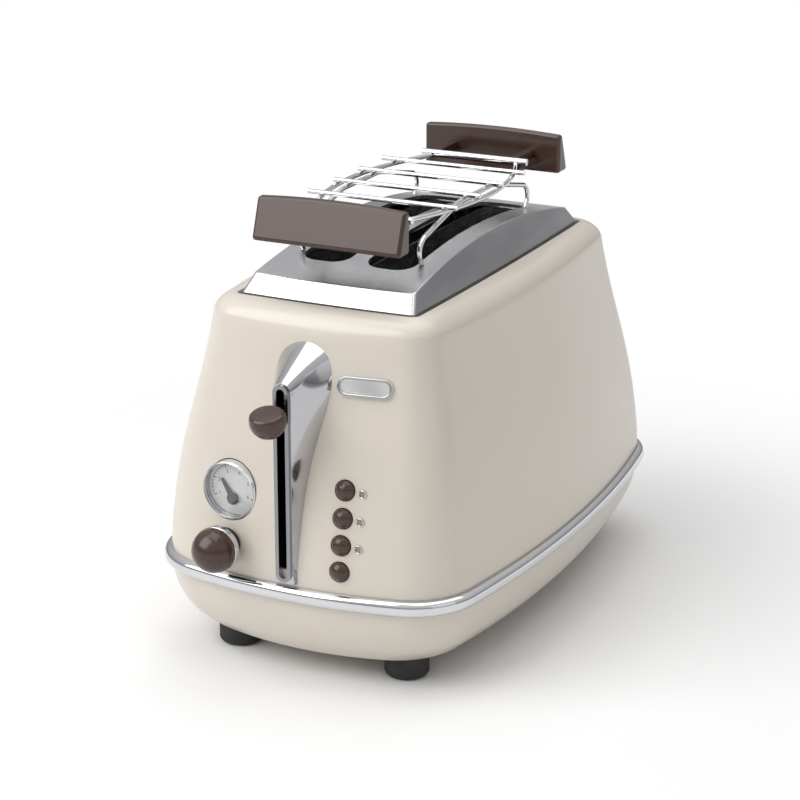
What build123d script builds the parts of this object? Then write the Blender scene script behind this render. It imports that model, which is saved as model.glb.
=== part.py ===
from build123d import *
import math
import os

os.makedirs("parts", exist_ok=True)

# Frame: millimetres, +Z up, origin on the table under the middle of the whole part,
# the control face looks along -Y

# Body plan at its widest level
BODY_HALF_WIDTH = 88.0
BODY_HALF_LENGTH = 141.4
BODY_SIDE_BOW = 12.8
BODY_END_BOW = 13.4
BODY_CORNER_R = 33.0

# Levels
FOOT_HEIGHT = 10.0
BASE_HEIGHT = 33.0
SHELL_HEIGHT = 131.5

# Painted shell, a bell: share of its height and inset of its wall there
SHELL_WALL = 1.6
SHELL_PROFILE = (
    (0.0, 0.0),
    (0.06, 0.2),
    (0.2, 2.0),
    (0.35, 5.1),
    (0.53, 10.1),
    (0.71, 15.9),
    (0.88, 20.8),
    (1.0, 23.7),
)
SHELL_END_INSET = 1.08
SHELL_TOP_SIDE_BOW = 7.5
SHELL_TOP_END_BOW = 7.0
SHELL_TOP_CORNER_R = 18.0
SHELL_ROLL_R = 9.0

# Base bowl: share of its height down from the belt and inset there
BASE_WALL = 2.5
BASE_PROFILE = (
    (0.0, 0.0),
    (0.18, 0.4),
    (0.36, 1.7),
    (0.55, 4.0),
    (0.73, 7.6),
    (0.88, 12.2),
    (0.97, 17.0),
    (1.0, 20.5),
)

# Chrome belt
BELT_HEIGHT = 8.0
BELT_PROUD = 3.6
BELT_FIT = 0.15
BELT_SPREAD = 0.2
BELT_WEB = 1.5
BELT_WEB_DEPTH = 4.0

# Opening in the top of the shell
OPENING_HALF_WIDTH = 49.0
OPENING_HALF_LENGTH = 102.0
OPENING_SIDE_BOW = 1.6
OPENING_END_BOW = 1.4
OPENING_CORNER_R = 4.0
OPENING_LIP = 7.0

# Silver top cover with its arched back
COVER_GAP = 2.2
COVER_ARCH_TOP = 193.5
COVER_ARCH_DROP = 11.8
COVER_BAND_HEIGHT = 19.0
COVER_DRAFT_SIDE = 7.0
COVER_DRAFT_END = 17.8
COVER_TOP_SIDE_BOW = 1.6
COVER_TOP_END_BOW = 0.8
COVER_WALL = 2.0
COVER_EDGE_R = 0.8
COVER_SKIRT = 8.0

# Bread slots
SLOT_CENTRE = 17.0
SLOT_WIDTH = 25.0
SLOT_LENGTH = 142.0
SLOT_CORNER_R = 9.0
LINER_WALL = 0.8
LINER_DROP = 2.0

# Inner chassis
SHEET = 1.0
CHASSIS_HALF_WIDTH = 44.0
CHASSIS_END = 75.5
CHASSIS_FLOOR_HEIGHT = 36.0
TOP_PLATE_DROP = 16.0
TOP_PLATE_MARGIN = 3.0
FLOOR_HALF_WIDTH = 60.0
FLOOR_HALF_LENGTH = 125.0
POST_X = 54.0
POST_Y = 98.0
POST_R = 5.0

# Heaters
BOARD_THICKNESS = 0.8
OUTER_BOARD_X = 37.0
BOARD_HEIGHT = 96.0
RIBBON_THICKNESS = 0.3
RIBBON_WIDTH = 3.0
RIBBON_ROWS = 8
RIBBON_MARGIN = 8.0

# Bread guides
GUIDE_WIRE_R = 0.8
GUIDE_RAIL_R = 1.0
GUIDE_REST_GAP = 1.4
GUIDE_TRAVEL = 4.4
GUIDE_WIRES = 7
GUIDE_PITCH = 20.0
GUIDE_RISE = 13.0
GUIDE_TOP_GAP = 11.0
GUIDE_WIRE_END = 4.0
RUN_GAP = 0.3

# Lever and carriage
LEVER_TRAVEL = 70.0
LEVER_EXTRA_LIFT = 6.0
LEVER_Z = 136.0
LEVER_ARM_THICKNESS = 2.0
LEVER_ARM_HEIGHT = 8.0
LEVER_KNOB_R = 8.6
LEVER_KNOB_Y = 156.0
LEVER_KNOB_CUT = 3.9
LEVER_KNOB_TILT = 14.0
CARRIAGE_HALF_WIDTH = 36.0
CARRIAGE_HEIGHT = 18.0
CARRIAGE_GAP = 3.3
CARRIAGE_SHEET = 1.2
LIFT_HEIGHT = 8.0
LIFT_THICKNESS = 2.0
LIFT_FINGERS = 5
LIFT_FINGER_PITCH = 24.0
LIFT_FINGER_GAP = 0.8
ROD_R = 2.5
ROD_X = 14.0
ROD_STAND = 5.0
SHAFT_FIT = 0.06
SPRING_X = 26.0
SPRING_R = 3.2
MAGNET_X = -16.0
MAGNET_REACH = 11.0

# Lever plate on the control face
PLATE_FRONT_Y = 143.0
PLATE_HALF_WIDTH = 4.7
PLATE_LOW_Z = 52.0
PLATE_SLOT_TOP_Z = 150.0
PLATE_ROUND_R = 15.6
PLATE_ROUND_Z = 148.5
PLATE_RIDGE_ANGLE = 40.0
PLATE_FOOT_HALF_WIDTH = 7.4
PLATE_LEAN = 0.205
PLATE_SINK = 2.0
LEVER_SLOT_WIDTH = 4.2
SLOT_FRAME_WIDTH = 7.8
SLOT_FRAME_PROUD = 1.2

# Controls
LEFT_X = -33.0
KNOB_Z = 65.4
NEEDLE_Z = 85.0
GAUGE_Z = 90.0
GAUGE_R = 14.2
GAUGE_FRONT_Y = 134.3
KNOB_R = 10.9
KNOB_CENTRE_Y = 150.2
KNOB_BACK_Y = 149.0
KNOB_RING_R = 10.9
KNOB_RING_THICKNESS = 3.6
KNOB_SHAFT_R = 3.0
KNOB_HUB_R = 7.5
KNOB_TEETH = 12
NEEDLE_TEETH = 24
GEAR_BACK_Y = 118.6
GEAR_THICKNESS = 2.9
NEEDLE_ANGLE = 33.0
NEEDLE_LENGTH = 11.0
BUTTON_X = 26.8
BUTTON_Z = (99.0, 86.1, 73.5, 61.0)
BUTTON_R = 4.7
BUTTON_PROUD = 3.4
BUTTON_TRAVEL = 2.5
BUTTON_STEM_R = 3.8
BUTTON_NAMES = ("button_bun", "button_defrost", "button_reheat", "button_cancel")
LED_X = 35.2
LED_Z = (98.2, 85.4, 72.7)
LED_R = 2.1
BADGE_X = 31.2
BADGE_Z = 146.0
BADGE_WIDTH = 26.6
BADGE_HEIGHT = 9.2
BADGE_THICKNESS = 1.4
BOARD_FRONT_Y = 112.0

# Crumb tray
TRAY_HALF_WIDTH = 37.0
TRAY_FRONT = 72.0
TRAY_FLOOR_Z = 21.0
TRAY_RIM = 8.0
TRAY_SHEET = 1.0
TRAY_GAP = 0.4
RUNNER_END = 96.0
TRAY_HANDLE_HEIGHT = 11.0
TRAY_PULL_HALF = 18.0

# Feet
FOOT_X = 45.2
FOOT_Y = 105.4
FOOT_R = 10.9
FOOT_EDGE_R = 3.0
FOOT_BOSS_R = 6.0
FOOT_BOSS_HEIGHT = 5.0
FOOT_SCREW_R = 1.95
FOOT_SCREW_LOW_Z = 3.0

# Cord inlet
GLAND_X = -52.0
GLAND_Z = 26.0
GLAND_R = 6.0
GLAND_BORE_R = 3.6
GLAND_LENGTH = 16.0

# Warming rack
RACK_BAR_R = 1.2
RACK_BAR_HALF = 39.9
RACK_PITCH = 27.0
RACK_BAR_Z = 212.8
RACK_END_R = 1.8
RACK_END_HALF = 29.5
RACK_END_Z = 211.7
RACK_END_Y = 67.6
RAIL_MID_X = 38.5
RAIL_END_X = 24.0
LEG_X = 31.5
LEG_FOOT_Y = 61.5
LEG_BELLY_Y = 66.5
LEG_BELLY_Z = 197.0
LEG_SHOULDER_Y = 59.5
LEG_SHOULDER_Z = 201.8
LEG_FLAT_Y = 20.0
HANDLE_HALF = 38.6
HANDLE_Y = 89.0
HANDLE_LOW_Z = 202.0
HANDLE_HIGH_Z = 222.0
HANDLE_TOP_THICKNESS = 4.0
HANDLE_LOW_THICKNESS = 11.5
HANDLE_ARCH = 1.5
HANDLE_EDGE_R = 1.7
HANDLE_LUG_WIDTH = 4.4
HANDLE_TONGUE = 27.0

# Levels worked out from the sizes above
BASE_LOW_Z = FOOT_HEIGHT
BASE_TOP_Z = BASE_LOW_Z + BASE_HEIGHT
SHELL_LOW_Z = BASE_TOP_Z + BELT_WEB
SHELL_TOP_Z = SHELL_LOW_Z + SHELL_HEIGHT
FLOOR_Z = BASE_LOW_Z + CHASSIS_FLOOR_HEIGHT
FLOOR_TOP_Z = FLOOR_Z + SHEET
TOP_PLATE_Z = SHELL_TOP_Z - TOP_PLATE_DROP
COVER_LOW_Z = SHELL_TOP_Z - COVER_SKIRT
BASE_FLOOR_Z = BASE_LOW_Z + BASE_WALL
FOOT_BOSS_Z = BASE_FLOOR_Z + FOOT_BOSS_HEIGHT
CHASSIS_OUT = CHASSIS_END + SHEET
CARRIAGE_BACK = CHASSIS_OUT + CARRIAGE_GAP
CARRIAGE_FRONT = CARRIAGE_BACK + CARRIAGE_SHEET
CARRIAGE_TOP_Z = LEVER_Z + LEVER_ARM_HEIGHT / 2
CARRIAGE_LOW_Z = CARRIAGE_TOP_Z - CARRIAGE_HEIGHT
LINER_HALF = SLOT_WIDTH / 2 - 0.1
GUIDE_INNER_X = SLOT_CENTRE - SLOT_WIDTH / 2 - GUIDE_REST_GAP + 0.5
GUIDE_OUTER_X = SLOT_CENTRE + SLOT_WIDTH / 2 + GUIDE_REST_GAP - 0.5
GUIDE_LOW_Z = FLOOR_TOP_Z + GUIDE_RISE
GUIDE_HIGH_Z = TOP_PLATE_Z - SHEET - GUIDE_TOP_GAP
GEAR_MODULE = 2 * (NEEDLE_Z - KNOB_Z) / (KNOB_TEETH + NEEDLE_TEETH)
GEAR_FRONT_Y = GEAR_BACK_Y + GEAR_THICKNESS

# The body's middle lies behind the middle of the whole part, as the lever sticks out
FRONT_REACH = LEVER_KNOB_Y + LEVER_KNOB_R
BACK_REACH = BODY_HALF_LENGTH + BELT_PROUD
FRAME_Y = (FRONT_REACH - BACK_REACH) / 2


def finish(piece, label):
    """Put one finished piece in the part's frame, label it and write it."""
    placed = piece.part.moved(Location((0, FRAME_Y, 0)))
    placed.label = label
    export_step(placed, f"parts/{label}.step")


def plan(height, half_width, half_length, side_bow, end_bow, corner_r):
    """Rectangle with bulged sides and round corners, level at the given height."""
    corner_x = half_width - side_bow
    corner_y = half_length - end_bow
    with BuildSketch(Plane.XY.offset(height)) as section:
        with BuildLine():
            ThreePointArc((corner_x, -corner_y), (half_width, 0), (corner_x, corner_y))
            ThreePointArc((corner_x, corner_y), (0, half_length), (-corner_x, corner_y))
            ThreePointArc((-corner_x, corner_y), (-half_width, 0), (-corner_x, -corner_y))
            ThreePointArc((-corner_x, -corner_y), (0, -half_length), (corner_x, -corner_y))
        make_face()
        fillet(section.vertices(), corner_r)
    return section.sketch


def mix(low, high, share):
    """Value between low and high."""
    return low + (high - low) * share


def shell_section(share, inset, grow):
    """Level section of the bell, grown outwards by grow."""
    return plan(
        mix(SHELL_LOW_Z, SHELL_TOP_Z + min(grow, 0), share),
        BODY_HALF_WIDTH - inset + grow,
        BODY_HALF_LENGTH - inset * SHELL_END_INSET + grow,
        mix(BODY_SIDE_BOW, SHELL_TOP_SIDE_BOW, share),
        mix(BODY_END_BOW, SHELL_TOP_END_BOW, share),
        mix(BODY_CORNER_R, SHELL_TOP_CORNER_R, share) + grow,
    )


def shell_form(grow):
    """Solid bell with its rolled shoulder, grown outwards by grow."""
    with BuildPart() as form:
        loft(sections=[shell_section(share, inset, grow) for share, inset in SHELL_PROFILE])
        shoulder = form.faces().sort_by(Axis.Z)[-1].edges()
        fillet(shoulder, SHELL_ROLL_R + min(grow, 0))
    return form.part


def base_form(shrink):
    """Solid bowl under the belt, shrunk inwards by shrink."""
    sections = []
    for share, inset in reversed(BASE_PROFILE):
        sections.append(
            plan(
                mix(BASE_TOP_Z, BASE_LOW_Z + shrink, share),
                BODY_HALF_WIDTH - inset - shrink,
                BODY_HALF_LENGTH - inset - shrink,
                BODY_SIDE_BOW,
                BODY_END_BOW,
                BODY_CORNER_R - shrink,
            )
        )
    with BuildPart() as form:
        loft(sections=sections)
    return form.part


def opening_plan(height, grow):
    """Outline of the shell's top opening, grown outwards by grow."""
    return plan(
        height,
        OPENING_HALF_WIDTH + grow,
        OPENING_HALF_LENGTH + grow,
        OPENING_SIDE_BOW,
        OPENING_END_BOW,
        OPENING_CORNER_R + grow,
    )


def face_y(x, z):
    """Distance of the shell's front surface from the middle, at x and height z."""
    share = (z - SHELL_LOW_Z) / SHELL_HEIGHT
    inset = 0.0
    for (low, low_inset), (high, high_inset) in zip(SHELL_PROFILE, SHELL_PROFILE[1:]):
        if low <= share <= high:
            inset = mix(low_inset, high_inset, (share - low) / (high - low))
    bow = mix(BODY_END_BOW, SHELL_TOP_END_BOW, share)
    corner_x = BODY_HALF_WIDTH - inset - mix(BODY_SIDE_BOW, SHELL_TOP_SIDE_BOW, share)
    return BODY_HALF_LENGTH - inset * SHELL_END_INSET - bow * (x / corner_x) ** 2


def arch_z(y):
    """Height of the cover's arched back at y."""
    return COVER_ARCH_TOP - COVER_ARCH_DROP * (y / OPENING_HALF_LENGTH) ** 2


def box_between(low, high, mode=Mode.ADD):
    """Box from its low corner to its high corner."""
    size = [b - a for a, b in zip(low, high)]
    with Locations(tuple((a + b) / 2 for a, b in zip(low, high))):
        Box(*size, mode=mode)


def rod_y(x, z, near, far, radius, mode=Mode.ADD):
    """Round bar along Y from -near to -far, distances in front of the middle."""
    with BuildSketch(Plane.XZ.offset(near)) as end:
        with Locations((x, z)):
            Circle(radius)
    extrude(end.sketch, amount=far - near, mode=mode)


def dome_y(x, z, back, rim, tip, radius):
    """Round disc facing -Y with a spherical front, distances in front of the middle."""
    rise = tip - rim
    dome_r = (radius**2 + rise**2) / (2 * rise)
    half_angle = math.asin(radius / dome_r) / 2
    middle = tip - dome_r + dome_r * math.cos(half_angle)
    with BuildSketch(Plane.YZ.offset(x)) as side:
        with BuildLine():
            Line((-back, z), (-back, z + radius))
            Line((-back, z + radius), (-rim, z + radius))
            ThreePointArc(
                (-rim, z + radius),
                (-middle, z + dome_r * math.sin(half_angle)),
                (-tip, z),
            )
            Line((-tip, z), (-back, z))
        make_face()
    revolve(side.sketch, axis=Axis((x, 0, z), (0, 1, 0)))


def rod_z(x, y, low, high, radius, mode=Mode.ADD):
    """Upright round bar."""
    with BuildSketch(Plane.XY.offset(low)) as end:
        with Locations((x, y)):
            Circle(radius)
    extrude(end.sketch, amount=high - low, mode=mode)


# Painted outer shell
shell_outside = shell_form(0)
with BuildPart() as outer_shell:
    add(shell_outside)
    add(shell_form(-SHELL_WALL), mode=Mode.SUBTRACT)
    extrude(opening_plan(SHELL_TOP_Z - OPENING_LIP, SHELL_WALL), amount=OPENING_LIP)
    extrude(
        opening_plan(SHELL_TOP_Z - OPENING_LIP - 1, 0),
        amount=OPENING_LIP + 2,
        mode=Mode.SUBTRACT,
    )
    arm_gap = LEVER_ARM_THICKNESS / 2 + 2
    box_between(
        (-arm_gap, -BODY_HALF_LENGTH - 5, LEVER_Z - LEVER_TRAVEL - LEVER_ARM_HEIGHT),
        (arm_gap, -BODY_HALF_LENGTH / 2, LEVER_Z + LEVER_EXTRA_LIFT + LEVER_ARM_HEIGHT),
        mode=Mode.SUBTRACT,
    )
    rod_y(LEFT_X, GAUGE_Z, 100, 150, GAUGE_R + RUN_GAP, mode=Mode.SUBTRACT)
    rod_y(LEFT_X, KNOB_Z, 100, 150, KNOB_SHAFT_R + 0.5, mode=Mode.SUBTRACT)
    for button_z in BUTTON_Z:
        rod_y(BUTTON_X, button_z, 100, 150, BUTTON_R + 0.35, mode=Mode.SUBTRACT)
    for led_z in LED_Z:
        rod_y(LED_X, led_z, 100, 150, LED_R + 0.05, mode=Mode.SUBTRACT)
finish(outer_shell, "outer_shell")

# Base bowl: floor, posts for the chassis, tray mouth and cord hole
base_outside = base_form(0)
with BuildPart() as base_shell:
    add(base_outside)
    add(base_form(BASE_WALL), mode=Mode.SUBTRACT)
    for sx in (-1, 1):
        for sy in (-1, 1):
            x, y = sx * FOOT_X, sy * FOOT_Y
            rod_z(sx * POST_X, sy * POST_Y, BASE_FLOOR_Z - 0.5, FLOOR_Z, POST_R)
            rod_z(x, y, BASE_FLOOR_Z - 0.5, FOOT_BOSS_Z, FOOT_BOSS_R)
            rod_z(x, y, BASE_LOW_Z - 1, FOOT_BOSS_Z + 1, FOOT_SCREW_R + 0.05, mode=Mode.SUBTRACT)
    box_between(
        (-TRAY_HALF_WIDTH - TRAY_GAP, 100, TRAY_FLOOR_Z - TRAY_GAP),
        (TRAY_HALF_WIDTH + TRAY_GAP, 160, TRAY_FLOOR_Z + TRAY_HANDLE_HEIGHT + TRAY_GAP),
        mode=Mode.SUBTRACT,
    )
    rod_y(GLAND_X, GLAND_Z, -160, -100, GLAND_R + 0.1, mode=Mode.SUBTRACT)
finish(base_shell, "base_shell")

# Chrome belt between the shell and the base
with BuildPart() as belt:
    belt_low = BASE_TOP_Z - 0.5
    extrude(
        plan(
            belt_low,
            BODY_HALF_WIDTH + BELT_PROUD,
            BODY_HALF_LENGTH + BELT_PROUD,
            BODY_SIDE_BOW,
            BODY_END_BOW,
            BODY_CORNER_R + BELT_PROUD,
        ),
        amount=BELT_HEIGHT,
    )
    rims = belt.faces().sort_by(Axis.Z)[0].edges() + belt.faces().sort_by(Axis.Z)[-1].edges()
    fillet(rims, min(BELT_PROUD, BELT_HEIGHT / 2) * 0.9)
    for low, height, grow in (
        (belt_low, BASE_TOP_Z - belt_low, BELT_FIT),
        (SHELL_LOW_Z, BELT_HEIGHT, BELT_FIT + BELT_SPREAD),
        (BASE_TOP_Z, BELT_WEB, -BELT_WEB_DEPTH),
    ):
        extrude(
            plan(
                low,
                BODY_HALF_WIDTH + grow,
                BODY_HALF_LENGTH + grow,
                BODY_SIDE_BOW,
                BODY_END_BOW,
                BODY_CORNER_R + grow,
            ),
            amount=height,
            mode=Mode.SUBTRACT,
        )
finish(belt, "belt")


def cover_form(shrink, low):
    """Tapered block under the cover's arched back, shrunk by shrink."""
    half_width = OPENING_HALF_WIDTH - COVER_GAP - shrink
    half_length = OPENING_HALF_LENGTH - COVER_GAP - shrink
    corner_r = max(OPENING_CORNER_R - COVER_GAP - shrink, 0.6)
    band_top = SHELL_TOP_Z + COVER_BAND_HEIGHT
    with BuildPart() as form:
        loft(
            sections=[
                plan(low, half_width, half_length, OPENING_SIDE_BOW, OPENING_END_BOW, corner_r),
                plan(
                    SHELL_TOP_Z,
                    half_width,
                    half_length,
                    OPENING_SIDE_BOW,
                    OPENING_END_BOW,
                    corner_r,
                ),
                plan(
                    band_top,
                    half_width - COVER_DRAFT_SIDE,
                    half_length - COVER_DRAFT_END,
                    COVER_TOP_SIDE_BOW,
                    COVER_TOP_END_BOW,
                    corner_r,
                ),
            ],
            ruled=True,
        )
        end = OPENING_HALF_LENGTH + 10
        with BuildSketch(Plane.YZ.offset(-OPENING_HALF_WIDTH - 5)) as side:
            with BuildLine():
                ThreePointArc(
                    (-end, arch_z(end) - shrink),
                    (0, COVER_ARCH_TOP - shrink),
                    (end, arch_z(end) - shrink),
                )
                Line((end, arch_z(end) - shrink), (end, low - 5))
                Line((end, low - 5), (-end, low - 5))
                Line((-end, low - 5), (-end, arch_z(end) - shrink))
            make_face()
        extrude(side.sketch, amount=2 * OPENING_HALF_WIDTH + 10, mode=Mode.INTERSECT)
    return form.part


def slot_sketch(height, grow):
    """The two bread slots seen from above, grown by grow."""
    with BuildSketch(Plane.XY.offset(height)) as slots:
        with Locations((-SLOT_CENTRE, 0), (SLOT_CENTRE, 0)):
            RectangleRounded(
                SLOT_WIDTH + 2 * grow,
                SLOT_LENGTH + 2 * grow,
                SLOT_CORNER_R + grow,
            )
    return slots.sketch


# Silver top cover
COVER_POST_X = 37.0
COVER_POST_Y = 85.0
COVER_POST_R = 4.0
SCREW_R = 1.45
with BuildPart() as top_cover:
    add(cover_form(0, COVER_LOW_Z))
    crown = top_cover.faces().sort_by(Axis.Z)[-1]
    fillet(crown.edges(), COVER_EDGE_R)
    add(cover_form(COVER_WALL, COVER_LOW_Z), mode=Mode.SUBTRACT)
    for sx in (-1, 1):
        for sy in (-1, 1):
            rod_z(
                sx * COVER_POST_X,
                sy * COVER_POST_Y,
                TOP_PLATE_Z,
                arch_z(COVER_POST_Y) - COVER_WALL / 2,
                COVER_POST_R,
            )
            rod_z(
                sx * COVER_POST_X,
                sy * COVER_POST_Y,
                TOP_PLATE_Z - 1,
                TOP_PLATE_Z + 12,
                SCREW_R + 0.05,
                mode=Mode.SUBTRACT,
            )
    extrude(slot_sketch(COVER_LOW_Z - 12, 0), amount=60, mode=Mode.SUBTRACT)
finish(top_cover, "top_cover")

# Steel liners that line the two bread slots
with BuildPart() as slot_liners:
    liner_height = arch_z(SLOT_LENGTH / 2) - LINER_DROP - TOP_PLATE_Z
    extrude(slot_sketch(TOP_PLATE_Z, -0.1), amount=liner_height)
    extrude(
        slot_sketch(TOP_PLATE_Z - 1, -0.1 - LINER_WALL),
        amount=liner_height + 2,
        mode=Mode.SUBTRACT,
    )
finish(slot_liners, "slot_liners")

# Black seal between the cover and the shell
with BuildPart() as rim_seal:
    seat_z = SHELL_TOP_Z - OPENING_LIP
    extrude(opening_plan(TOP_PLATE_Z, TOP_PLATE_MARGIN), amount=seat_z - TOP_PLATE_Z)
    extrude(opening_plan(seat_z - 1, -BELT_FIT), amount=OPENING_LIP - 3)
    extrude(
        opening_plan(TOP_PLATE_Z - 1, -COVER_GAP + 0.2),
        amount=TOP_PLATE_DROP + 2,
        mode=Mode.SUBTRACT,
    )
finish(rim_seal, "rim_seal")

# Chassis floor, open above the crumb tray
with BuildPart() as chassis_floor:
    box_between(
        (-FLOOR_HALF_WIDTH, -FLOOR_HALF_LENGTH, FLOOR_Z),
        (FLOOR_HALF_WIDTH, FLOOR_HALF_LENGTH, FLOOR_TOP_Z),
    )
    fillet(chassis_floor.edges().filter_by(Axis.Z), 14)
    box_between(
        (-OUTER_BOARD_X + 2, -CHASSIS_END + 6, FLOOR_Z - 1),
        (OUTER_BOARD_X - 2, CHASSIS_END - 6, FLOOR_TOP_Z + 1),
        mode=Mode.SUBTRACT,
    )
    for sx in (-1, 1):
        for sy in (-1, 1):
            rod_z(sx * POST_X, sy * POST_Y, FLOOR_Z - 1, FLOOR_TOP_Z + 1, 1.7, mode=Mode.SUBTRACT)
finish(chassis_floor, "chassis_floor")

# Chassis top plate with the two slot holes
with BuildPart() as chassis_top:
    extrude(opening_plan(TOP_PLATE_Z - SHEET, TOP_PLATE_MARGIN), amount=SHEET)
    extrude(slot_sketch(TOP_PLATE_Z - 3, -0.1 - LINER_WALL), amount=6, mode=Mode.SUBTRACT)
    for sx in (-1, 1):
        for sy in (-1, 1):
            rod_z(
                sx * COVER_POST_X,
                sy * COVER_POST_Y,
                TOP_PLATE_Z - 3,
                TOP_PLATE_Z + 3,
                SCREW_R + 0.2,
                mode=Mode.SUBTRACT,
            )
finish(chassis_top, "chassis_top")


def end_plate(near, label):
    """Upright chassis end plate with its lift slots and guide rail slots."""
    low = FLOOR_TOP_Z
    high = TOP_PLATE_Z - SHEET
    with BuildPart() as plate:
        box_between((-CHASSIS_HALF_WIDTH, near, low), (CHASSIS_HALF_WIDTH, near + SHEET, high))
        for sx in (-1, 1):
            lift_low = CARRIAGE_LOW_Z - LEVER_TRAVEL - 1
            lift_high = CARRIAGE_TOP_Z + LEVER_EXTRA_LIFT + 2
            box_between(
                (sx * SLOT_CENTRE - 2.5, near - 1, lift_low),
                (sx * SLOT_CENTRE + 2.5, near + SHEET + 1, lift_high),
                mode=Mode.SUBTRACT,
            )
            reach = GUIDE_RAIL_R + RUN_GAP
            for rail_z in (GUIDE_LOW_Z, GUIDE_HIGH_Z):
                for a, b in (
                    (GUIDE_INNER_X, GUIDE_INNER_X + GUIDE_TRAVEL),
                    (GUIDE_OUTER_X - GUIDE_TRAVEL, GUIDE_OUTER_X),
                ):
                    box_between(
                        (min(sx * (a - reach - 0.5), sx * (b + reach + 0.5)), near - 1, rail_z - reach),
                        (
                            max(sx * (a - reach - 0.5), sx * (b + reach + 0.5)),
                            near + SHEET + 1,
                            rail_z + reach,
                        ),
                        mode=Mode.SUBTRACT,
                    )
    finish(plate, label)


end_plate(-CHASSIS_OUT, "chassis_front_plate")
end_plate(CHASSIS_END, "chassis_rear_plate")

# Side reflectors
with BuildPart() as side_reflectors:
    for sx in (-1, 1):
        outer = sx * CHASSIS_HALF_WIDTH
        inner = sx * (CHASSIS_HALF_WIDTH - SHEET)
        box_between(
            (min(outer, inner), -CHASSIS_END, FLOOR_TOP_Z),
            (max(outer, inner), CHASSIS_END, TOP_PLATE_Z - SHEET),
        )
finish(side_reflectors, "side_reflectors")

# Heater boards of mica, one in the middle and one at each side
board_mid_z = (FLOOR_TOP_Z + TOP_PLATE_Z) / 2
board_low = board_mid_z - BOARD_HEIGHT / 2
board_high = board_mid_z + BOARD_HEIGHT / 2


def heater_board(x):
    """One upright board between the end plates."""
    half = BOARD_THICKNESS / 2
    box_between((x - half, -CHASSIS_END, board_low), (x + half, CHASSIS_END, board_high))


with BuildPart() as heater_boards:
    heater_board(-OUTER_BOARD_X)
    heater_board(0)
    heater_board(OUTER_BOARD_X)
finish(heater_boards, "heater_boards")


def ribbon(x_low):
    """Heating ribbon that runs to and fro over one face of a board."""
    pitch = (BOARD_HEIGHT - 2 * RIBBON_MARGIN) / (RIBBON_ROWS - 1)
    reach = CHASSIS_END - RIBBON_MARGIN
    for row in range(RIBBON_ROWS):
        low = board_low + RIBBON_MARGIN + row * pitch - RIBBON_WIDTH / 2
        box_between(
            (x_low, -reach, low),
            (x_low + RIBBON_THICKNESS, reach, low + RIBBON_WIDTH),
        )
        if row < RIBBON_ROWS - 1:
            side = reach if row % 2 == 0 else -reach + RIBBON_WIDTH
            box_between(
                (x_low, side - RIBBON_WIDTH, low),
                (x_low + RIBBON_THICKNESS, side, low + pitch + RIBBON_WIDTH),
            )


with BuildPart() as heating_ribbons:
    half_board = BOARD_THICKNESS / 2
    ribbon(-OUTER_BOARD_X + half_board)
    ribbon(-half_board - RIBBON_THICKNESS)
    ribbon(half_board)
    ribbon(OUTER_BOARD_X - half_board - RIBBON_THICKNESS)
finish(heating_ribbons, "heating_ribbons")


def bread_guide(x, label):
    """Wire guide beside a slot: upright wires on two rails through the end plates."""
    with BuildPart() as guide:
        for rail_z in (GUIDE_LOW_Z, GUIDE_HIGH_Z):
            rod_y(x, rail_z, -CHASSIS_OUT - 0.8, CHASSIS_OUT + 0.8, GUIDE_RAIL_R)
        for n in range(GUIDE_WIRES):
            y = (n - (GUIDE_WIRES - 1) / 2) * GUIDE_PITCH
            rod_z(x, y, GUIDE_LOW_Z - GUIDE_WIRE_END, GUIDE_HIGH_Z + GUIDE_WIRE_END, GUIDE_WIRE_R)
    finish(guide, label)


bread_guide(-GUIDE_OUTER_X, "guide_left_outer")
bread_guide(-GUIDE_INNER_X, "guide_left_inner")
bread_guide(GUIDE_INNER_X, "guide_right_inner")
bread_guide(GUIDE_OUTER_X, "guide_right_outer")

# Carriage that slides on the guide rod
ROD_Y = CARRIAGE_FRONT + ROD_STAND
BUSH_R = ROD_R + 2.5
TAB_Z = CARRIAGE_LOW_Z + 2
with BuildPart() as lift_carriage:
    box_between(
        (-CARRIAGE_HALF_WIDTH, -CARRIAGE_FRONT, CARRIAGE_LOW_Z),
        (CARRIAGE_HALF_WIDTH, -CARRIAGE_BACK, CARRIAGE_TOP_Z),
    )
    box_between(
        (ROD_X - BUSH_R, -ROD_Y, CARRIAGE_LOW_Z - 2),
        (ROD_X + BUSH_R, -CARRIAGE_FRONT + 0.2, CARRIAGE_TOP_Z + 2),
    )
    rod_z(ROD_X, -ROD_Y, CARRIAGE_LOW_Z - 2, CARRIAGE_TOP_Z + 2, BUSH_R)
    box_between(
        (SPRING_X - SPRING_R - 1, -ROD_Y - SPRING_R - 1, CARRIAGE_LOW_Z),
        (SPRING_X + SPRING_R + 1, -CARRIAGE_FRONT + 0.2, TAB_Z),
    )
    rod_z(
        ROD_X,
        -ROD_Y,
        CARRIAGE_LOW_Z - 5,
        CARRIAGE_TOP_Z + 5,
        ROD_R + SHAFT_FIT,
        mode=Mode.SUBTRACT,
    )
finish(lift_carriage, "lift_carriage")

# Upright rod that the carriage slides on
with BuildPart() as guide_rod:
    rod_z(ROD_X, -ROD_Y, FLOOR_TOP_Z, TOP_PLATE_Z - SHEET, ROD_R)
finish(guide_rod, "guide_rod")

# Return spring between the carriage and the top plate
with BuildPart() as carriage_spring:
    rod_z(SPRING_X, -ROD_Y, TAB_Z, TOP_PLATE_Z - SHEET, SPRING_R)
    rod_z(
        SPRING_X,
        -ROD_Y,
        TAB_Z - 1,
        TOP_PLATE_Z + 1,
        SPRING_R - 0.8,
        mode=Mode.SUBTRACT,
    )
finish(carriage_spring, "carriage_spring")

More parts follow.
